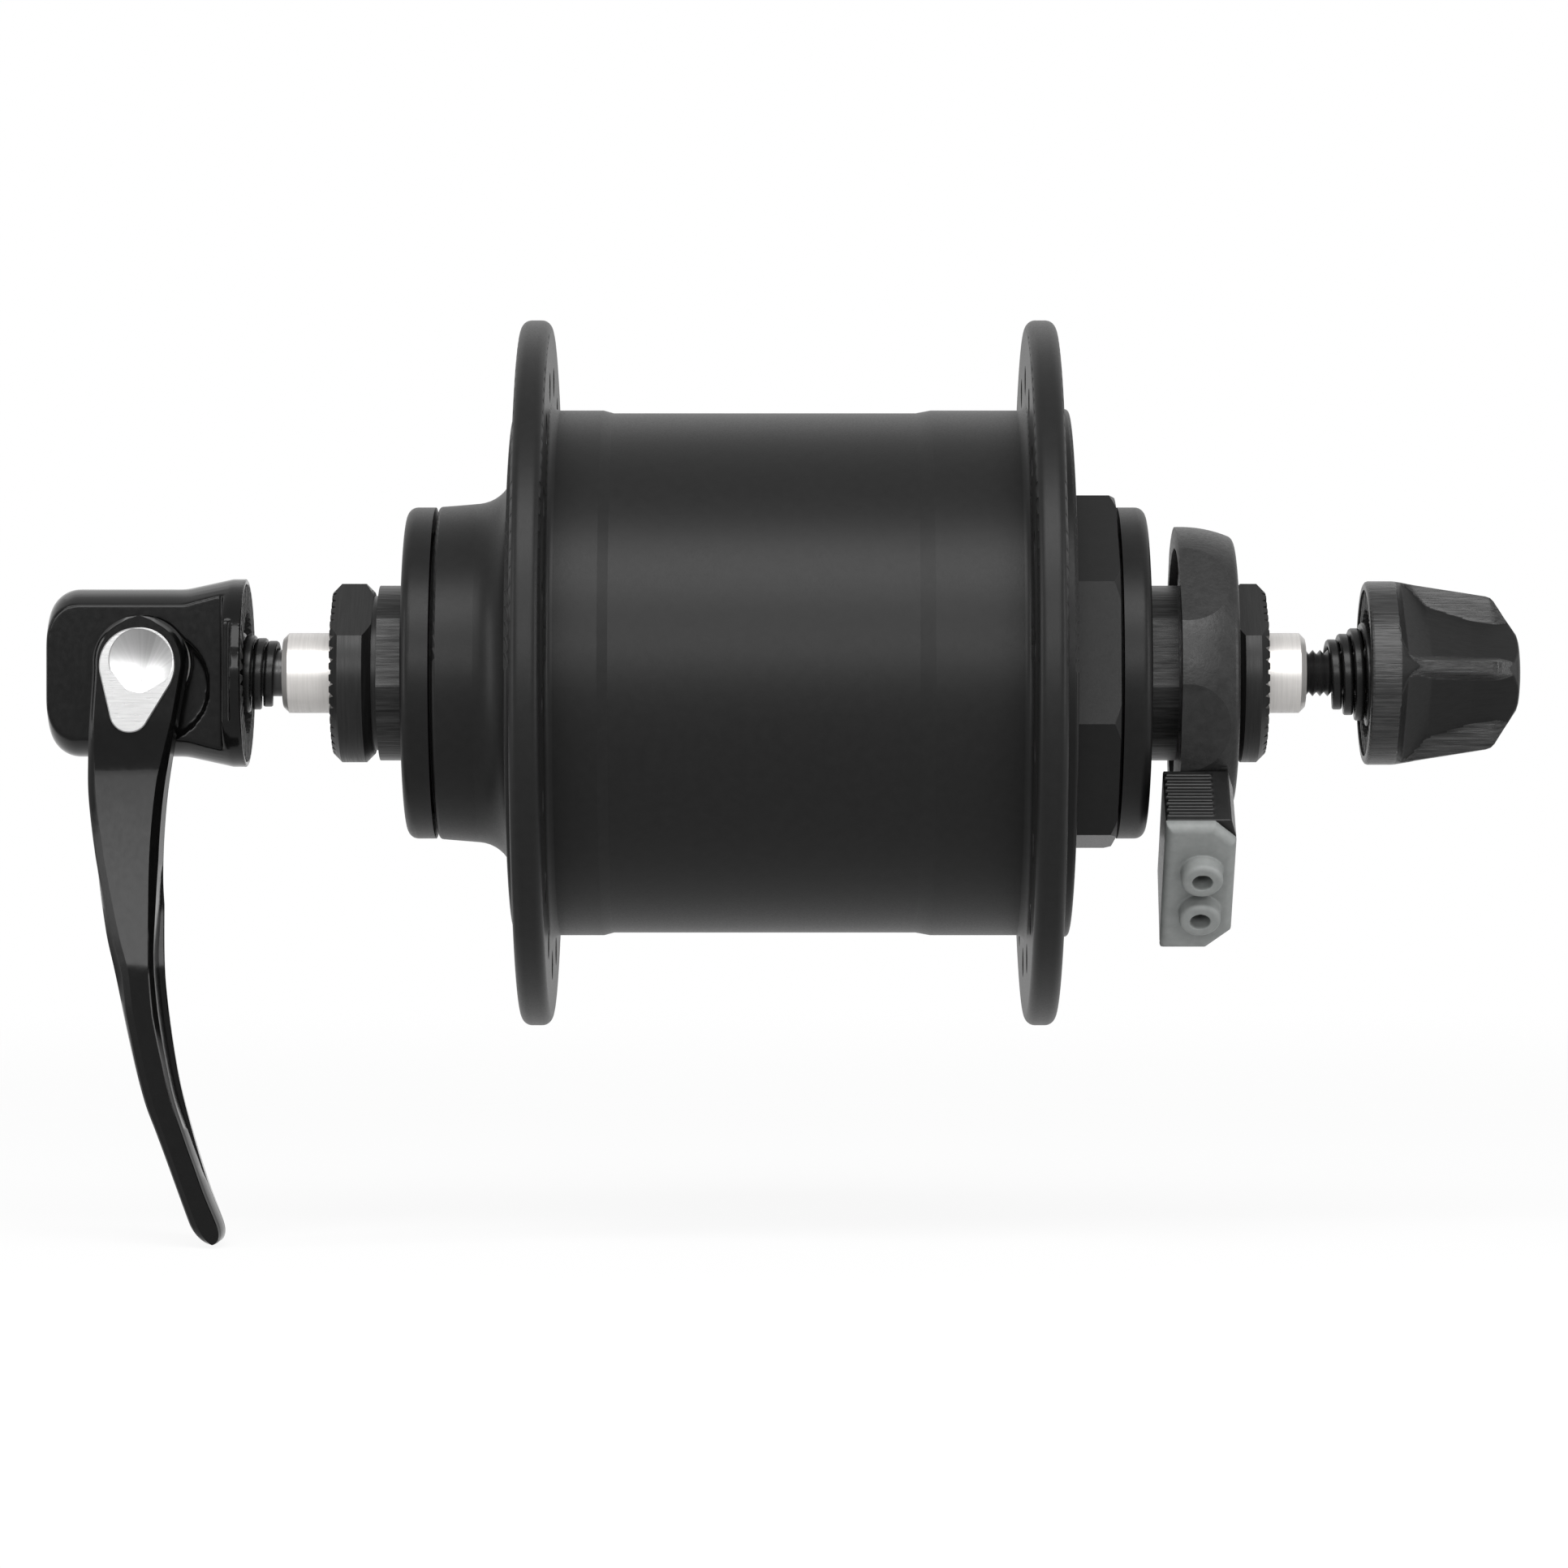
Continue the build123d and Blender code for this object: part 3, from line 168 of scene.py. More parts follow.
# Brushing round the axle, as a lathe leaves it, and brushing along the axle
TURNED = (1.0, 0.03, 0.03)
LENGTHWISE = (0.06, 1.0, 1.0)
LOOKS = {
    "shell_black": dict(
        dark=grey(0.0045), light=grey(0.006), rough=(0.36, 0.44),
        specular=0.15, bump=0.25, bump_scale=5000),
    "cover_black": dict(
        dark=grey(0.004), light=grey(0.0055), rough=(0.34, 0.42),
        specular=0.14, bump=0.25, bump_scale=5000),
    "locknut_black": dict(
        dark=grey(0.003), light=grey(0.009), rough=(0.3, 0.45),
        specular=0.2, scale=6000, stretch=TURNED, bump=0.4, bump_scale=9000),
    "cone_steel": dict(
        dark=grey(0.004), light=grey(0.03), rough=(0.3, 0.45), metallic=0.5,
        specular=0.25, scale=3600, stretch=LENGTHWISE,
        bump=0.7, bump_scale=4200, bump_depth=0.05),
    "axle_steel": dict(
        dark=grey(0.42, 0.03), light=grey(0.5, 0.03), rough=(0.3, 0.42), metallic=0.55,
        scale=5000, stretch=TURNED, bump=0.15, bump_scale=9000),
    "bearing_steel": dict(
        dark=grey(0.5), light=grey(0.6), rough=(0.15, 0.25), metallic=1.0),
    "seal_rubber": dict(
        dark=grey(0.005), light=grey(0.008), rough=(0.6, 0.75), specular=0.2),
    "core_steel": dict(
        dark=grey(0.3), light=grey(0.4), rough=(0.35, 0.5), metallic=1.0, stretch=TURNED),
    "magnet_dark": dict(
        dark=grey(0.05), light=grey(0.08), rough=(0.5, 0.65)),
    "bobbin_plastic": dict(
        dark=grey(0.6, 0.03), light=grey(0.68, 0.03), rough=(0.45, 0.6)),
    "winding_copper": dict(
        dark=(0.42, 0.13, 0.04), light=(0.55, 0.2, 0.07), rough=(0.25, 0.35), metallic=0.9,
        scale=2500, stretch=(1.0, 0.02, 0.02), bump=0.8, bump_scale=2500, bump_depth=0.2),
    "contact_brass": dict(
        dark=(0.6, 0.42, 0.16), light=(0.7, 0.5, 0.2), rough=(0.25, 0.4), metallic=1.0),
    "terminal_dark": dict(
        dark=grey(0.006), light=grey(0.013), rough=(0.34, 0.46),
        specular=0.25, bump=0.5, bump_scale=2600, bump_depth=0.06),
    "plug_black": dict(
        dark=grey(0.003), light=grey(0.006), rough=(0.28, 0.38),
        specular=0.24, bump=0.3, bump_scale=3500),
    "plug_grey": dict(
        dark=(0.145, 0.152, 0.149), light=(0.175, 0.183, 0.179), rough=(0.5, 0.6),
        specular=0.3, bump=0.25, bump_scale=3500),
    "release_black": dict(
        dark=grey(0.002), light=grey(0.003), rough=(0.12, 0.17),
        specular=0.14, bump=0.05, bump_scale=1500),
    "clamp_steel": dict(
        dark=grey(0.005), light=grey(0.04), rough=(0.4, 0.65), metallic=0.4,
        scale=2200, bump=0.8, bump_scale=4500, bump_depth=0.08),
    "badge_metal": dict(
        dark=grey(0.25), light=grey(0.32), rough=(0.26, 0.4), metallic=0.9,
        scale=5000, stretch=(0.05, 1, 1), bump=0.25, bump_scale=9000),
    "cam_steel": dict(
        dark=grey(0.02), light=grey(0.04), rough=(0.25, 0.4), metallic=0.7, stretch=TURNED),
    "spring_black": dict(
        dark=grey(0.002), light=grey(0.004), rough=(0.25, 0.35), specular=0.2),
    # Lighter copy of nut_black for the ribs and rim: real lengthwise grain, with painted highlight
    # on the lit flanks
    "nut_grain_and_highlight": dict(
        dark=grey(0.004), light=grey(0.03), rough=(0.24, 0.4),
        specular=0.24, scale=3500, stretch=LENGTHWISE,
        bump=0.9, bump_scale=3800, bump_depth=0.06),
    "nut_black": dict(
        dark=grey(0.003), light=grey(0.006), rough=(0.3, 0.4),
        specular=0.15, scale=3500, stretch=LENGTHWISE, bump=0.3, bump_scale=3800),
}
materials = {name: surface(name, **look) for name, look in LOOKS.items()}

slots = {row["node"]: row["material_slot"] for row in frame["record"]["subparts"]}
for name, node in frame["nodes"].items():
    node.data.materials.clear()
    node.data.materials.append(materials[slots[name]])

# Degrees between two faces above which the edge between them stays sharp
CAD_SHARP = 24
WIRE_SHARP = 50
WINDING_SHARP = 60
NUT_SHARP = 40
LEVER_SHARP = 20
BADGE_SHARP = 12


def shading_by_angle(limit):
    """Node group that shades faces smooth and keeps edges above the limit sharp."""
    group = bpy.data.node_groups.new("shading_by_angle", "GeometryNodeTree")
    group.interface.new_socket("Geometry", in_out="INPUT", socket_type="NodeSocketGeometry")
    group.interface.new_socket("Geometry", in_out="OUTPUT", socket_type="NodeSocketGeometry")
    start = group.nodes.new("NodeGroupInput")
    end = group.nodes.new("NodeGroupOutput")
    faces = group.nodes.new("GeometryNodeSetShadeSmooth")
    faces.domain = "FACE"
    edges = group.nodes.new("GeometryNodeSetShadeSmooth")
    edges.domain = "EDGE"
    edges.inputs["Shade Smooth"].default_value = False
    angle = group.nodes.new("GeometryNodeInputMeshEdgeAngle")
    above = group.nodes.new("FunctionNodeCompare")
    above.operation = "GREATER_THAN"
    above.inputs[1].default_value = math.radians(limit)
    group.links.new(angle.outputs["Unsigned Angle"], above.inputs[0])
    group.links.new(start.outputs[0], faces.inputs["Geometry"])
    group.links.new(faces.outputs[0], edges.inputs["Geometry"])
    group.links.new(above.outputs[0], edges.inputs["Selection"])
    group.links.new(edges.outputs[0], end.inputs[0])
    return group


by_angle = shading_by_angle(CAD_SHARP)
for node in frame["nodes"].values():
    node.modifiers.new("shading", "NODES").node_group = by_angle


def shade_smooth(mesh):
    mesh.polygons.foreach_set("use_smooth", [True] * len(mesh.polygons))


def piece(name, mesh, node, between=None):
    """A visual piece that stands for a CAD node, with its material, on its body, or left in place
    on no body when between is given.
    """
    obj = bpy.data.objects.new(name, mesh)
    bpy.context.scene.collection.objects.link(obj)
    mesh.materials.clear()
    mesh.materials.append(materials[slots[node]])
    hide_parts(node)
    if between:
        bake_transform(obj)
    else:
        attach(obj, frame["nodes"][node]["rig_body"])


SMOOTH_FACTOR = 0.5


def softened(node, voxel, passes):
    """A copy of a CAD node with its edges rounded over, as a cast or moulded piece has them."""
    obj = bpy.data.objects.new("work", frame["nodes"][node].data.copy())
    bpy.context.scene.collection.objects.link(obj)
    remesh = obj.modifiers.new("remesh", "REMESH")
    remesh.mode = "VOXEL"
    remesh.voxel_size = voxel * MM
    rounded = obj.modifiers.new("rounded", "SMOOTH")
    rounded.factor = SMOOTH_FACTOR
    rounded.iterations = passes
    graph = bpy.context.evaluated_depsgraph_get()
    mesh = bpy.data.meshes.new_from_object(obj.evaluated_get(graph))
    bpy.data.objects.remove(obj)
    shade_smooth(mesh)
    piece(node + "_soft", mesh, node)


def ring_mesh(name, rings, sharp, caps=(), merge=None):
    """Faces between closed rings of points, in order, with a cap on each ring that caps names.

    Points closer than merge, in metres, become one.
    """
    shape = bmesh.new()
    rows = [[shape.verts.new(point) for point in ring] for ring in rings]
    count = len(rows[0])
    for row, after in zip(rows, rows[1:]):
        for index in range(count):
            following = (index + 1) % count
            shape.faces.new((row[index], row[following], after[following], after[index]))
    for cap in caps:
        shape.faces.new(rows[cap])
    if merge:
        bmesh.ops.remove_doubles(shape, verts=shape.verts, dist=merge)
    bmesh.ops.recalc_face_normals(shape, faces=shape.faces)
    mesh = bpy.data.meshes.new(name)
    shape.to_mesh(mesh)
    shape.free()
    shade_smooth(mesh)
    mesh.set_sharp_from_angle(angle=math.radians(sharp))
    return mesh


BOTH_ENDS = (0, -1)
SAME_POINT = 1e-7
SAME_TIP_POINT = 1e-6


def round_axle(place, radius, angle):
    """The point in mm at a place along the axle, at a radius and an angle round it."""
    return Vector((place, radius * math.cos(angle), radius * math.sin(angle)))


def facing(across, up, out):
    """The point in metres for X, Z and the distance out from the axle to the viewer, all in mm."""
    return Vector((across, -out, up)) * MM


# Springs.  Conical, of wire with a squared section that is a little wider than it is deep.
WIRE_DEPTH = 0.8
WIRE_WIDTH = 1.04
WIRE_SQUARE = 6
WIRE_CORNERS = 20
SPRING_PITCH = 1.2
SPRING_TURNS = 4.5
TURN_STEPS = 48


def spring(name, node, start, start_r, grow, way, bodies):
    """A spring between two bodies; the bodies are passed on, but its ends do not follow them.

    It runs way along the axle and its radius grows by grow a turn, in mm.
    """
    rings = []
    for step in range(int(SPRING_TURNS * TURN_STEPS) + 1):
        turns = step / TURN_STEPS
        angle = turns * FULL_TURN
        centre = round_axle(start + way * SPRING_PITCH * turns, start_r + grow * turns, angle)
        out = round_axle(0, 1, angle)
        ring = []
        for corner in range(WIRE_CORNERS):
            around = corner / WIRE_CORNERS * FULL_TURN
            c, s = math.cos(around), math.sin(around)
            reach = (abs(c) ** WIRE_SQUARE + abs(s) ** WIRE_SQUARE) ** (-1 / WIRE_SQUARE)
            spot = ALONG * c * WIRE_WIDTH / 2 + out * s * WIRE_DEPTH / 2
            ring.append((centre + spot * reach) * MM)
        rings.append(ring)
    end = start + way * SPRING_PITCH * SPRING_TURNS
    between = (*bodies, (start * MM, 0, 0), (end * MM, 0, 0))
    piece(name, ring_mesh(name, rings, WIRE_SHARP, BOTH_ENDS), node, between)


spring("left_spring_wire", "left_spring", start=-56.2, start_r=3.0, grow=0.3, way=-1,
       bodies=("left_spring", "qr_housing"))
spring("right_spring_wire", "right_spring", start=56.9, start_r=3.08, grow=0.6, way=1,
       bodies=("skewer", "nut_ring"))

# Winding: its outer face is scalloped, wire beside wire
GENERATOR_MID = -2.5
WINDING_HALF = 10.55
WINDING_R = 18.0
WINDING_CORE_R = 9.05
WINDING_PITCH = 0.55
WINDING_ROUND = 0.2
SCALLOP_STEPS = 6
LATHE_STEPS = 144


def winding():
    start, end = GENERATOR_MID - WINDING_HALF, GENERATOR_MID + WINDING_HALF
    profile = [(start, WINDING_CORE_R), (end, WINDING_CORE_R)]
    strands = int(WINDING_HALF * 2 / WINDING_PITCH)
    for strand in range(strands, -1, -1):
        for part in range(SCALLOP_STEPS):
            share = (strand - part / SCALLOP_STEPS) / strands
            if share >= 0:
                drop = WINDING_ROUND * (1 - math.sin(math.pi * part / SCALLOP_STEPS))
                profile.append((start + share * WINDING_HALF * 2, WINDING_R - drop))
    rings = []
    for step in range(LATHE_STEPS + 1):
        around = step / LATHE_STEPS * FULL_TURN
        rings.append([round_axle(place, r, around) * MM for place, r in profile])
    mesh = ring_mesh("winding_wound", rings, WINDING_SHARP, merge=SAME_POINT)
    piece("winding_wound", mesh, "coil_winding")


winding()

# Lead: a tube along the wire's route, (along the axle, out from it), in the plane of the plug
PLUG_TURN = math.radians(-42.0)
LEAD_R = 0.4
LEAD_BEND = 1.2
LEAD_STEPS = 8
LEAD_CORNERS = 20
LEAD_ROUTE = ((12.5, 13.0), (15.6, 13.0), (15.6, 3.85), (43.15, 3.85), (43.15, 9.0))


def lead_line():
    """The route with its corners rounded."""
    points = [Vector(LEAD_ROUTE[0])]
    for before, corner, after in zip(LEAD_ROUTE, LEAD_ROUTE[1:], LEAD_ROUTE[2:]):
        corner = Vector(corner)
        into = (Vector(before) - corner).normalized()
        away = (Vector(after) - corner).normalized()
        middle = corner + (into + away) * LEAD_BEND
        for step in range(LEAD_STEPS + 1):
            t = step / LEAD_STEPS * math.pi / 2
            points.append(middle - away * LEAD_BEND * math.cos(t) - into * LEAD_BEND * math.sin(t))
    points.append(Vector(LEAD_ROUTE[-1]))
    return points


def way_at(points, index):
    """The direction of a line at one of its points."""
    before = points[max(0, index - 1)]
    after = points[min(len(points) - 1, index + 1)]
    return (after - before).normalized()


def lead():
    out = Vector((0, -math.cos(PLUG_TURN), math.sin(PLUG_TURN)))
    aside = ALONG.cross(out)
    line = lead_line()
    rings = []
    for index, point in enumerate(line):
        way = way_at(line, index)
        square = ALONG * -way.y + out * way.x
        ring = []
        for corner in range(LEAD_CORNERS):
            around = corner / LEAD_CORNERS * FULL_TURN
            spot = square * math.cos(around) + aside * math.sin(around)
            ring.append((ALONG * point.x + out * point.y + spot * LEAD_R) * MM)
        rings.append(ring)
    piece("lead_tube", ring_mesh("lead_tube", rings, WIRE_SHARP, BOTH_ENDS), "lead_wire")


lead()

# Adjusting nut: four narrow ribs with sloping flanks, hollow flats between them.  The outline
# is that of a rib, the floor that of a flat's middle and the inside that of the bore, all as
# (along the axle, radius).
NUT_SIDE = 63.9
NUT_OUTLINE = (
    (60.7, 9.55),
    (60.85, 9.78),
    (61.1, 9.87),
    (63.6, 9.87),
    (64.0, 9.83),
    (73.8, 8.28),
    (74.3, 8.1),
    (74.7, 7.7),
    (75.0, 7.2),
    (76.6, 4.7),
    (76.95, 4.2),
    (77.12, 3.7),
    (77.2, 3.1),
)
NUT_FLOOR = ((63.6, 10.6), (64.0, 8.6), (64.7, 7.5), (67.35, 5.8), (72.0, 4.75), (77.2, 4.1))
NUT_INSIDE = (
    (60.7, 8.93),
    (62.3, 8.93),
    (62.3, 6.6),
    (63.8, 6.6),
    (63.8, 4.12),
    (72.4, 4.12),
    (72.4, 2.54),
    (73.4, 2.54),
    (73.4, 0.0),
)
NUT_RIBS = 4
NUT_TURN = math.pi - math.radians(3.8)
RIB_HALF = 0.62
RIB_FLARE = 1.0
RIB_FLARE_RUN = 2.5
RIB_SLOPE = 2.6
NUT_BLEND = 0.3
NUT_STEPS = 360
NUT_RUN_STEP = 0.16
# Faces this far in mm above a flat's floor take the lighter copy, with its painted highlight
GRAIN_AND_HIGHLIGHT_ABOVE = 0.05


def along_line(points, place):
    """The height of a run of straight pieces at a place."""
    for (x0, y0), (x1, y1) in zip(points, points[1:]):
        if place <= x1:
            return y0 + (y1 - y0) * max(0.0, place - x0) / (x1 - x0)
    return points[-1][1]


def blended_max(a, b, width):
    share = max(0.0, width - abs(a - b)) / width
    return max(a, b) + share * share * width / 4


def from_rib(around):
    """The angle from the nearest rib."""
    share = (around * NUT_RIBS / FULL_TURN) % 1.0
    return min(share, 1 - share) * FULL_TURN / NUT_RIBS


def nut_flat(place, turned):
    return along_line(NUT_FLOOR, place) / math.cos(math.pi / NUT_RIBS - turned)


def nut_radius(place, turned):
    """Radius of the nut at a place along it and an angle from its nearest rib."""
    land = along_line(NUT_OUTLINE, place)
    half = RIB_HALF + RIB_FLARE * max(0.0, 1 - (place - NUT_SIDE) / RIB_FLARE_RUN) ** 2
    rib = land - RIB_SLOPE * max(0.0, land * math.sin(turned) - half)
    ribbed = blended_max(rib, nut_flat(place, turned), NUT_BLEND)
    return -blended_max(-land, -ribbed, NUT_BLEND / 2)


def nut_ring(place, radius=None):
    """A ring of points round the nut, of one radius or else along its ribs and flats."""
    ring = []
    for step in range(NUT_STEPS):
        around = step / NUT_STEPS * FULL_TURN
        r = nut_radius(place, from_rib(around)) if radius is None else radius
        ring.append(round_axle(place, r, NUT_TURN - around) * MM)
    return ring


def nut():
    places = [place for place, r in NUT_OUTLINE]
    start, end = places[0], places[-1]
    steps = int((end - start) / NUT_RUN_STEP)
    places += [start + step * NUT_RUN_STEP for step in range(1, steps)]
    rings = [nut_ring(place, r) for place, r in reversed(NUT_INSIDE)]
    rings += [nut_ring(place) for place in sorted(set(places))]
    mesh = ring_mesh("nut_ribbed", rings, NUT_SHARP, caps=(-1,), merge=SAME_POINT)
    piece("nut_ribbed", mesh, "adjusting_nut")
    # Ribs and rim take the lighter copy, a painted highlight on their flanks; the flats stay dark
    mesh.materials.append(materials["nut_grain_and_highlight"])
    for face in mesh.polygons:
        x, y, z = face.center / MM
        flat = nut_flat(x, from_rib(NUT_TURN - math.atan2(z, y)))
        if math.hypot(y, z) > flat + GRAIN_AND_HIGHLIGHT_ABOVE or x < NUT_SIDE:
            face.material_index = 1


nut()

# Lever.  Two edge curves, as (across, down) in shares of the reach from the pivot, each with a
# run of bevels from the back to the face, and faces across between them.
PIVOT = (-70.0, 1.0)
LEVER_REACH = 61.8
LEVER_HEAD_R = 5.0
HEAD_STEPS = 22
HEAD_TURN_END = math.pi / 2 + math.radians(6)
HEAD_FACE = 9.95
BLADE_FACE = 9.3
LEVER_BACK = 5.8
PADDLE_BACK = 5.6
PADDLE_START = 0.36
PADDLE_FULL = 0.62
LEVER_ROUND = 8.0
OUTER_EDGE = (
    (-0.0804, 0.0085),
    (-0.0901, 0.2),
    (-0.0768, 0.332),
    (-0.0583, 0.4645),
    (-0.0423, 0.534),
    (-0.0111, 0.683),
    (0.0085, 0.758),
    (0.0265, 0.805),
    (0.0405, 0.842),
    (0.0620, 0.9007),
    (0.0800, 0.95),
    (0.0930, 0.985),
    (0.0985, 1.0),
)
INNER_EDGE = (
    (0.0804, 0.0085),
    (0.0480, 0.2),
    (0.0385, 0.30),
    (0.0365, 0.4),
    (0.0400, 0.55),
    (0.0590, 0.7),
    (0.0820, 0.8),
    (0.1120, 0.9),
    (0.1380, 0.965),
    (0.1510, 1.0),
)
TIP_START = 0.962
# Width in mm from each silhouette in to the edge of the front face, at shares of the reach
OUTER_BAND = (
    (0.1, 0.55),
    (0.2, 0.85),
    (0.332, 0.98),
    (0.4645, 1.48),
    (0.534, 1.64),
    (0.6, 1.2),
    (1.0, 0.9),
)
INNER_BAND = (
    (0.1, 0.6),
    (0.2, 1.15),
    (0.604, 1.35),
    (0.683, 1.05),
    (0.758, 1.0),
    (0.868, 0.6),
    (1.0, 0.5),
)
# What an outer band has over this width in mm is a slope at the side of the bevel
BEVEL_WIDTH = 0.95
# Width in mm of the ledge along the inner side, and how far it lies behind the face
LEDGE_WIDTH = ((0.34, 0.0), (0.5, 0.6), (0.75, 0.5), (0.9, 0.0))
LEDGE_DEPTH = 5.0
# Width in mm of the lever below which the bands on its two sides get narrower
FULL_BAND_WIDTH = 4.2
BLADE_STEPS = 96
TIP_STEPS = 14
CREASE_STEPS = (-0.009, 0.009)
HEAD_END = 0.1
BOW_START = 0.18
BOW_TOP = 0.53
BOW_TILTS = (math.radians(3), math.radians(7))
TIP_TILT = math.tan(math.radians(3))


def edge_at(points, share):
    """The edge's place across at a share of the reach, on a smooth curve through its points."""
    index = 0
    while index < len(points) - 2 and share > points[index + 1][1]:
        index += 1
    slopes = []
    for place in (index, index + 1):
        before = points[max(0, place - 1)]
        after = points[min(len(points) - 1, place + 1)]
        slopes.append((after[0] - before[0]) / (after[1] - before[1]))
    (x0, s0), (x1, s1) = points[index], points[index + 1]
    run = s1 - s0
    t = (share - s0) / run
    return (
        x0 * (2 * t ** 3 - 3 * t ** 2 + 1)
        + x1 * (3 * t ** 2 - 2 * t ** 3)
        + slopes[0] * run * (t ** 3 - 2 * t ** 2 + t)
        + slopes[1] * run * (t ** 3 - t ** 2)
    )


def smooth_step(value, start, end):
    t = min(1.0, max(0.0, (value - start) / (end - start)))
    return t * t * (3 - 2 * t)


def blade_shares():
    """Shares of the reach at which the blade has a ring, with one on each side of its crease."""
    start = OUTER_EDGE[0][1]
    shares = [start + (TIP_START - start) * step / BLADE_STEPS for step in range(1, BLADE_STEPS)]
    shares = [share for share in shares if abs(share - BOW_TOP) > CREASE_STEPS[-1]]
    shares += [BOW_TOP + step for step in CREASE_STEPS]
    for step in range(TIP_STEPS):
        shares.append(TIP_START + (1 - TIP_START) * math.sin(math.pi / 2 * step / (TIP_STEPS - 1)))
    return sorted(shares)


def lever_edges():
    """Both sides of the lever from the top of its head to its tip, in the X-Z plane."""
    left, right = [], []
    for step in range(HEAD_STEPS):
        angle = HEAD_TURN_END * step / (HEAD_STEPS - 1)
        for side, points in ((-1, left), (1, right)):
            points.append(Vector((side * math.sin(angle), math.cos(angle))) * LEVER_HEAD_R)
    for share in blade_shares():
        outer, inner = edge_at(OUTER_EDGE, share), edge_at(INNER_EDGE, share)
        middle, half = (outer + inner) / 2, (inner - outer) / 2
        near_tip = max(0.0, share - TIP_START) / (1 - TIP_START)
        half *= math.sqrt(max(0.0, 1 - near_tip * near_tip))
        left.append(Vector((middle - half, -share)) * LEVER_REACH)
        right.append(Vector((middle + half, -share)) * LEVER_REACH)
    return left, right


def inward(points, side):
    """Normals pointing into the lever; those at its top and at its tip point along it."""
    normals = []
    for index in range(len(points)):
        way = way_at(points, index)
        normals.append(Vector((side * way.y, -side * way.x)))
    normals[0] = Vector((0, -1))
    normals[-1] = Vector((0, 1))
    return normals


def lever_front(share):
    """How far the face stands out at a share of the reach."""
    if share < BOW_START:
        return HEAD_FACE - (HEAD_FACE - BLADE_FACE) * smooth_step(share, HEAD_END, BOW_START)
    full = (BOW_TOP - BOW_START) * LEVER_REACH
    run = (min(share, BOW_TOP) - BOW_START) * LEVER_REACH
    start, end = (math.tan(tilt) for tilt in BOW_TILTS)
    rise = start * run + (end - start) * run * run / full / 2
    return BLADE_FACE + rise - max(0.0, share - BOW_TOP) * LEVER_REACH * TIP_TILT


def lever_back(share):
    """How far out the back is at a share of the reach; behind the axle on the paddle."""
    depth = smooth_step(share, PADDLE_START, PADDLE_FULL)
    back = LEVER_BACK - (LEVER_BACK + PADDLE_BACK) * depth
    end = share * LEVER_REACH - (LEVER_REACH - LEVER_ROUND)
    if end > 0:
        back += LEVER_ROUND - math.sqrt(max(0.0, LEVER_ROUND ** 2 - min(end, LEVER_ROUND) ** 2))
    return back


def outer_run(share, front, back):
    """The outer side from the back to the face, as (out, inward) in mm: a band, then a bevel."""
    band = along_line(OUTER_BAND, share)
    slope = max(0.0, band - BEVEL_WIDTH)
    return (
        (back, 1.2),
        (back + 0.3, 0.7),
        (back + 1.2, 0.15),
        (back + 2.0, 0.0),
        (front - 2.2, 0.0),
        (front - 1.7 + slope * 0.6, slope * 0.15),
        (front - 0.8, slope),
        (front - 0.5, slope + 0.2),
        (front - 0.12, band - 0.18),
        (front, band),
    )


def inner_run(share, front, back):
    """The inner side from the back to the face, as (out, inward) in mm, with its ledge."""
    band = along_line(INNER_BAND, share)
    width = along_line(LEDGE_WIDTH, share)
    ledge = max(back + 1.0, front - LEDGE_DEPTH)
    return (
        (back, 2.0),
        (back + 0.6, 1.3),
        (ledge - (ledge - back) * 0.4, 0.4),
        (ledge - 0.5, 0.05),
        (ledge - 0.12, 0.0),
        (ledge, 0.1),
        (ledge + 0.02, width + 0.02),
        (front - 0.95, width + (band - width) * 0.25),
        (front - 0.85, width + (band - width) * 0.34),
        (front - 0.1, band - 0.12),
        (front, band),
    )


def lever():
    left_edge, right_edge = lever_edges()
    normals = zip(inward(left_edge, -1), inward(right_edge, 1))
    rings = []
    for left, right, (left_in, right_in) in zip(left_edge, right_edge, normals):
        share = -min(left.y, right.y) / LEVER_REACH
        front, back = lever_front(share), lever_back(share)
        room = min(1.0, (right - left).length / FULL_BAND_WIDTH)
        sides = (
            (left, left_in, outer_run(share, front, back)),
            (right, right_in, reversed(inner_run(share, front, back))),
        )
        ring = []
        for point, way, run in sides:
            for out, inside in run:
                spot = point + way * inside * room
                ring.append(facing(PIVOT[0] + spot.x, PIVOT[1] + spot.y, out))
        rings.append(ring)
    mesh = ring_mesh("lever_blade", rings, LEVER_SHARP, BOTH_ENDS, SAME_TIP_POINT)
    piece("lever_blade", mesh, "qr_lever")


lever()

# Badge: a drop, the hull of a large and a small circle, with a raised rim round a spun dish
BADGE_CENTRE = (-70.17, 0.67)
BADGE_R = 4.04
BADGE_STEPS = 96
BADGE_LOW = (-71.0, -4.35)
BADGE_LOW_R = 2.1
BADGE_LOW_STEPS = 32
BADGE_OUT = 10.4
BADGE_BACK = 9.72
BADGE_EDGE = 0.12
DISH_CENTRE = (-69.75, 1.24)
DISH_R = 3.45
DISH_DEPTH = 0.4
DISH_STEP = 0.03
DISH_SHARES = (0.97, 0.9, 0.8, 0.7, 0.6, 0.5, 0.4, 0.3, 0.2, 0.1, 0.02)
FAN_STREAKS = 60
FAN_SWAY = 0.08
# Colour stops round the dish: painted reflection and shade, light and dark fans by angle
PAINTED_FAN = (
    (0.0, grey(0.36)),
    (0.16, grey(0.3)),
    (0.3, grey(0.38)),
    (0.47, grey(0.32)),
    (0.62, grey(0.38)),
    (0.76, grey(0.2)),
    (0.86, grey(0.28)),
    (1.0, grey(0.36)),
)


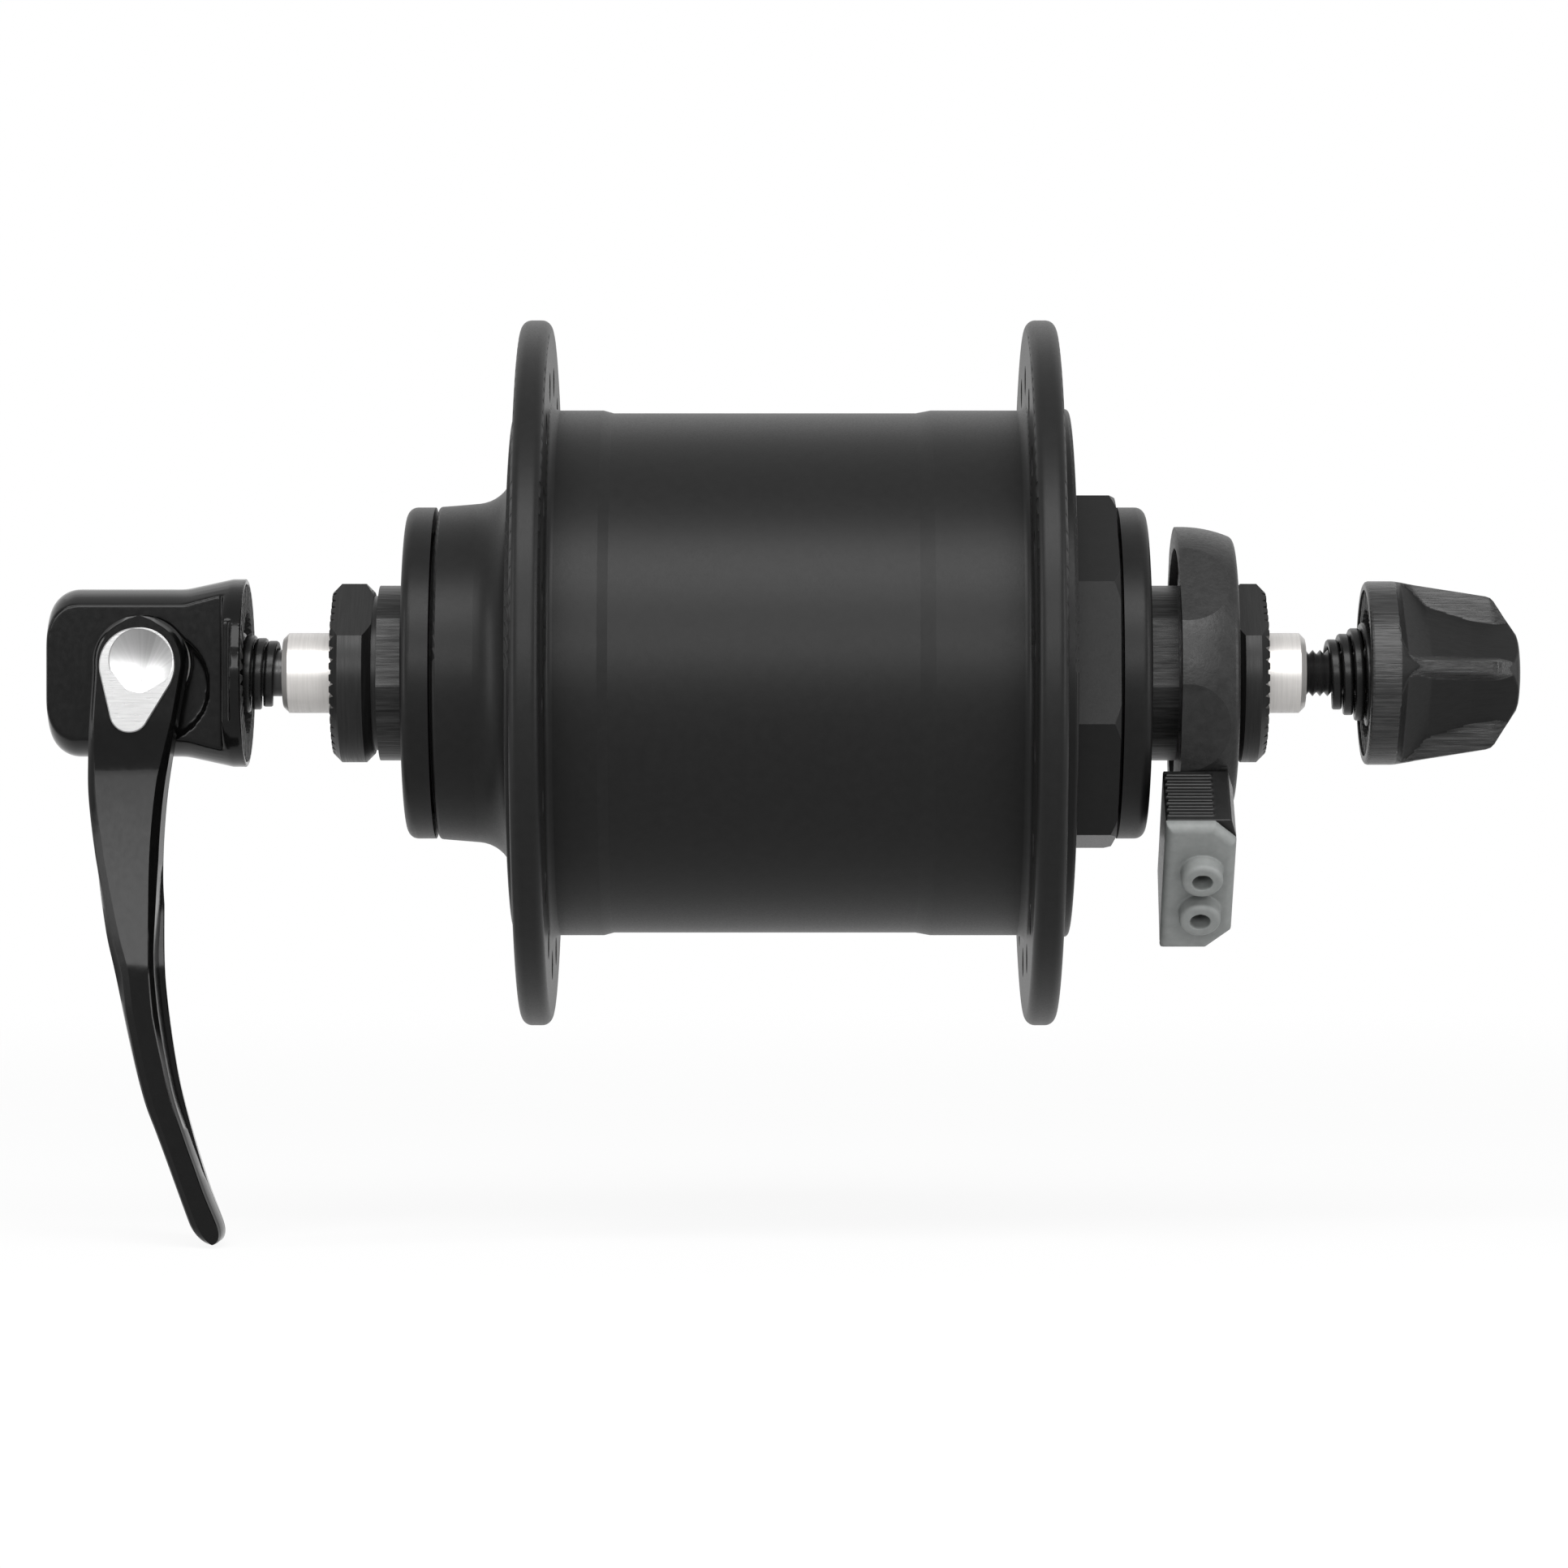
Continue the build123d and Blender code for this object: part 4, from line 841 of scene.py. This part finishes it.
def painted_dish_reflection():
    """Painted reflection and shade on the dish: light and dark fans round its centre, as spun metal
    reflects the lamps.
    """
    material, tree, shader = node_tree("painted_dish_reflection")
    coords = add(tree, "ShaderNodeTexCoord")
    mapping = add(tree, "ShaderNodeMapping")
    mapping.inputs["Location"].default_value = (-DISH_CENTRE[0] * MM, DISH_CENTRE[1] * MM, 0)
    mapping.inputs["Rotation"].default_value = (math.radians(-90), 0, 0)
    fan = add(tree, "ShaderNodeTexGradient", gradient_type="RADIAL")
    tree.links.new(coords.outputs["Object"], mapping.inputs["Vector"])
    tree.links.new(mapping.outputs["Vector"], fan.inputs["Vector"])
    streaks = add(tree, "ShaderNodeTexNoise", noise_dimensions="1D")
    streaks.inputs["Scale"].default_value = FAN_STREAKS
    streaks.inputs["Detail"].default_value = 4.0
    tree.links.new(fan.outputs["Fac"], streaks.inputs["W"])
    sway = add(tree, "ShaderNodeMath", operation="MULTIPLY_ADD")
    sway.inputs[1].default_value = FAN_SWAY
    tree.links.new(streaks.outputs["Fac"], sway.inputs[0])
    tree.links.new(fan.outputs["Fac"], sway.inputs[2])
    colour = ramp(tree, sway.outputs["Value"], PAINTED_FAN)
    tree.links.new(colour.outputs["Color"], shader.inputs["Base Color"])
    shader.inputs["Metallic"].default_value = 0.9
    shader.inputs["Roughness"].default_value = 0.3
    return material


def arc(centre, radius, start, sweep, count):
    points = []
    for step in range(count):
        turned = start + sweep * step / (count - 1)
        points.append(centre + Vector((math.cos(turned), math.sin(turned))) * radius)
    return points


def drop_outline(shrink):
    """The drop's outline in the X-Z plane, drawn in by a small amount."""
    centre, low = Vector(BADGE_CENTRE), Vector(BADGE_LOW)
    span = low - centre
    heading = math.atan2(span.y, span.x)
    lean = math.acos((BADGE_R - BADGE_LOW_R) / span.length)
    head_sweep = FULL_TURN - 2 * lean
    head = arc(centre, BADGE_R - shrink, heading + lean, head_sweep, BADGE_STEPS)
    return head + arc(low, BADGE_LOW_R - shrink, heading - lean, 2 * lean, BADGE_LOW_STEPS)


def badge():
    middle = Vector(DISH_CENTRE)
    outer, inner = drop_outline(0.0), drop_outline(BADGE_EDGE)
    dish = [middle + (point - middle).normalized() * DISH_R for point in inner]
    layers = [
        (outer, BADGE_BACK),
        (outer, BADGE_OUT - BADGE_EDGE),
        (inner, BADGE_OUT),
        (dish, BADGE_OUT),
    ]
    for share in DISH_SHARES:
        depth = DISH_DEPTH * (1 - share * share) + DISH_STEP
        layers.append(([middle + (point - middle) * share for point in dish], BADGE_OUT - depth))
    rings = [[facing(point.x, point.y, out) for point in points] for points, out in layers]
    mesh = ring_mesh("badge_drop", rings, BADGE_SHARP, BOTH_ENDS, SAME_POINT)
    piece("badge_drop", mesh, "lever_badge")
    # The sunk dish faces take the painted reflection and shade
    mesh.materials.append(painted_dish_reflection())
    for face in mesh.polygons:
        x, y, z = face.center / MM
        sunk = DISH_STEP / 2 < y + BADGE_OUT < DISH_DEPTH + 2 * DISH_STEP
        if sunk and (Vector((x, z)) - middle).length < DISH_R:
            face.material_index = 1


badge()

# Cast and moulded pieces, with the voxel size in mm
softened("qr_housing", voxel=0.18, passes=5)
softened("plug_body", voxel=0.11, passes=2)
softened("plug_cover", voxel=0.1, passes=2)

# Camera: the photograph's eye, 680 mm in front of the axle and a little below it
EYE = Vector((-1.29, -680.0, -8.79)) * MM
PHOTO = 1932.0
FOCAL_PX = 7790.0
CENTRE_PX = (970.0, 930.0)
SENSOR = 36.0
NEAR, FAR = 0.01, 20.0
scene = bpy.context.scene
camera_data = bpy.data.cameras.new("camera")
camera_data.sensor_width = SENSOR
camera_data.sensor_fit = "HORIZONTAL"
camera_data.lens = FOCAL_PX / PHOTO * SENSOR
camera_data.shift_x = (PHOTO / 2 - CENTRE_PX[0]) / PHOTO
camera_data.shift_y = (CENTRE_PX[1] - PHOTO / 2) / PHOTO
camera_data.clip_start = NEAR
camera_data.clip_end = FAR
camera = bpy.data.objects.new("camera", camera_data)
scene.collection.objects.link(camera)
camera.location = EYE
camera.rotation_euler = (math.radians(90), 0, 0)
scene.camera = camera

# Light and background.  Each lamp: name, place and size in metres, power in watts.
LAMPS = (
    ("key", (0.0, -0.67, 0.68), (1.0, 0.48), 12.0),
    ("front_panel", (0.0, -1.1, 0.22), (1.0, 0.24), 6.5),
    ("left_strip", (-0.8, -0.3, 0.05), (0.14, 0.8), 3.5),
    ("right_strip", (0.8, -0.3, 0.05), (0.14, 0.8), 3.5),
    ("back_top", (0.0, 0.7, 0.6), (0.9, 0.3), 0.3),
)
AROUND = 0.18
scene.view_settings.view_transform = "Standard"
for name, place, size, power in LAMPS:
    data = bpy.data.lights.new(name, "AREA")
    data.shape = "RECTANGLE"
    data.size, data.size_y = size
    data.energy = power
    lamp = bpy.data.objects.new(name, data)
    scene.collection.objects.link(lamp)
    lamp.location = place
    way = Vector((0, 0, 0)) - Vector(place)
    lamp.rotation_euler = way.to_track_quat("-Z", "Y").to_euler()

world = bpy.data.worlds.new("world")
scene.world = world
world.use_nodes = True
tree = world.node_tree
background = tree.nodes["Background"]
path = add(tree, "ShaderNodeLightPath")
seen = add(tree, "ShaderNodeMath", operation="MAXIMUM")
tree.links.new(path.outputs["Is Camera Ray"], seen.inputs[0])
tree.links.new(path.outputs["Is Glossy Ray"], seen.inputs[1])
also = add(tree, "ShaderNodeMath", operation="MAXIMUM")
tree.links.new(seen.outputs[0], also.inputs[0])
tree.links.new(path.outputs["Is Transmission Ray"], also.inputs[1])
level = add(tree, "ShaderNodeMix", data_type="RGBA")
level.inputs[6].default_value = (*grey(AROUND), 1)
level.inputs[7].default_value = (1, 1, 1, 1)
tree.links.new(also.outputs[0], level.inputs[0])
tree.links.new(level.outputs[2], background.inputs["Color"])

# Floor: near white to the camera and in reflections, with the shadow, and clear at its rim
FLOOR_GAP = 0.0004
FLOOR_R = 0.7
FLOOR_STEPS = 96
FLOOR_WHITE = 0.82
FLOOR_GLOW = 0.9
FADE_START, FADE_END = 0.12, 0.65
floor_mesh = bpy.data.meshes.new("floor")
shape = bmesh.new()
bmesh.ops.create_circle(shape, cap_ends=True, segments=FLOOR_STEPS, radius=FLOOR_R)
shape.to_mesh(floor_mesh)
shape.free()
floor = bpy.data.objects.new("floor", floor_mesh)
scene.collection.objects.link(floor)
floor.location = (0, 0, cad_box[0][2] - FLOOR_GAP)
floor_material, tree, shader = node_tree("floor_white")
shader.inputs["Base Color"].default_value = (*grey(FLOOR_WHITE), 1)
shader.inputs["Roughness"].default_value = 0.9
shader.inputs["Specular IOR Level"].default_value = 0.0
glow = add(tree, "ShaderNodeEmission")
glow.inputs["Color"].default_value = (1, 1, 1, 1)
path = add(tree, "ShaderNodeLightPath")
seen = add(tree, "ShaderNodeMath", operation="MAXIMUM")
tree.links.new(path.outputs["Is Camera Ray"], seen.inputs[0])
tree.links.new(path.outputs["Is Glossy Ray"], seen.inputs[1])
glow_share = add(tree, "ShaderNodeMath", operation="MULTIPLY")
glow_share.inputs[1].default_value = FLOOR_GLOW
tree.links.new(seen.outputs[0], glow_share.inputs[0])
lit = add(tree, "ShaderNodeMixShader")
tree.links.new(glow_share.outputs[0], lit.inputs[0])
tree.links.new(shader.outputs[0], lit.inputs[1])
tree.links.new(glow.outputs[0], lit.inputs[2])
coords = add(tree, "ShaderNodeTexCoord")
length = add(tree, "ShaderNodeVectorMath", operation="LENGTH")
tree.links.new(coords.outputs["Object"], length.inputs[0])
fade = add(tree, "ShaderNodeMapRange", interpolation_type="SMOOTHSTEP")
fade.inputs["From Min"].default_value = FADE_START
fade.inputs["From Max"].default_value = FADE_END
tree.links.new(length.outputs["Value"], fade.inputs["Value"])
clear = add(tree, "ShaderNodeBsdfTransparent")
edge = add(tree, "ShaderNodeMixShader")
tree.links.new(fade.outputs["Result"], edge.inputs[0])
tree.links.new(lit.outputs[0], edge.inputs[1])
tree.links.new(clear.outputs[0], edge.inputs[2])
tree.links.new(edge.outputs[0], tree.nodes["Material Output"].inputs["Surface"])
floor_mesh.materials.append(floor_material)
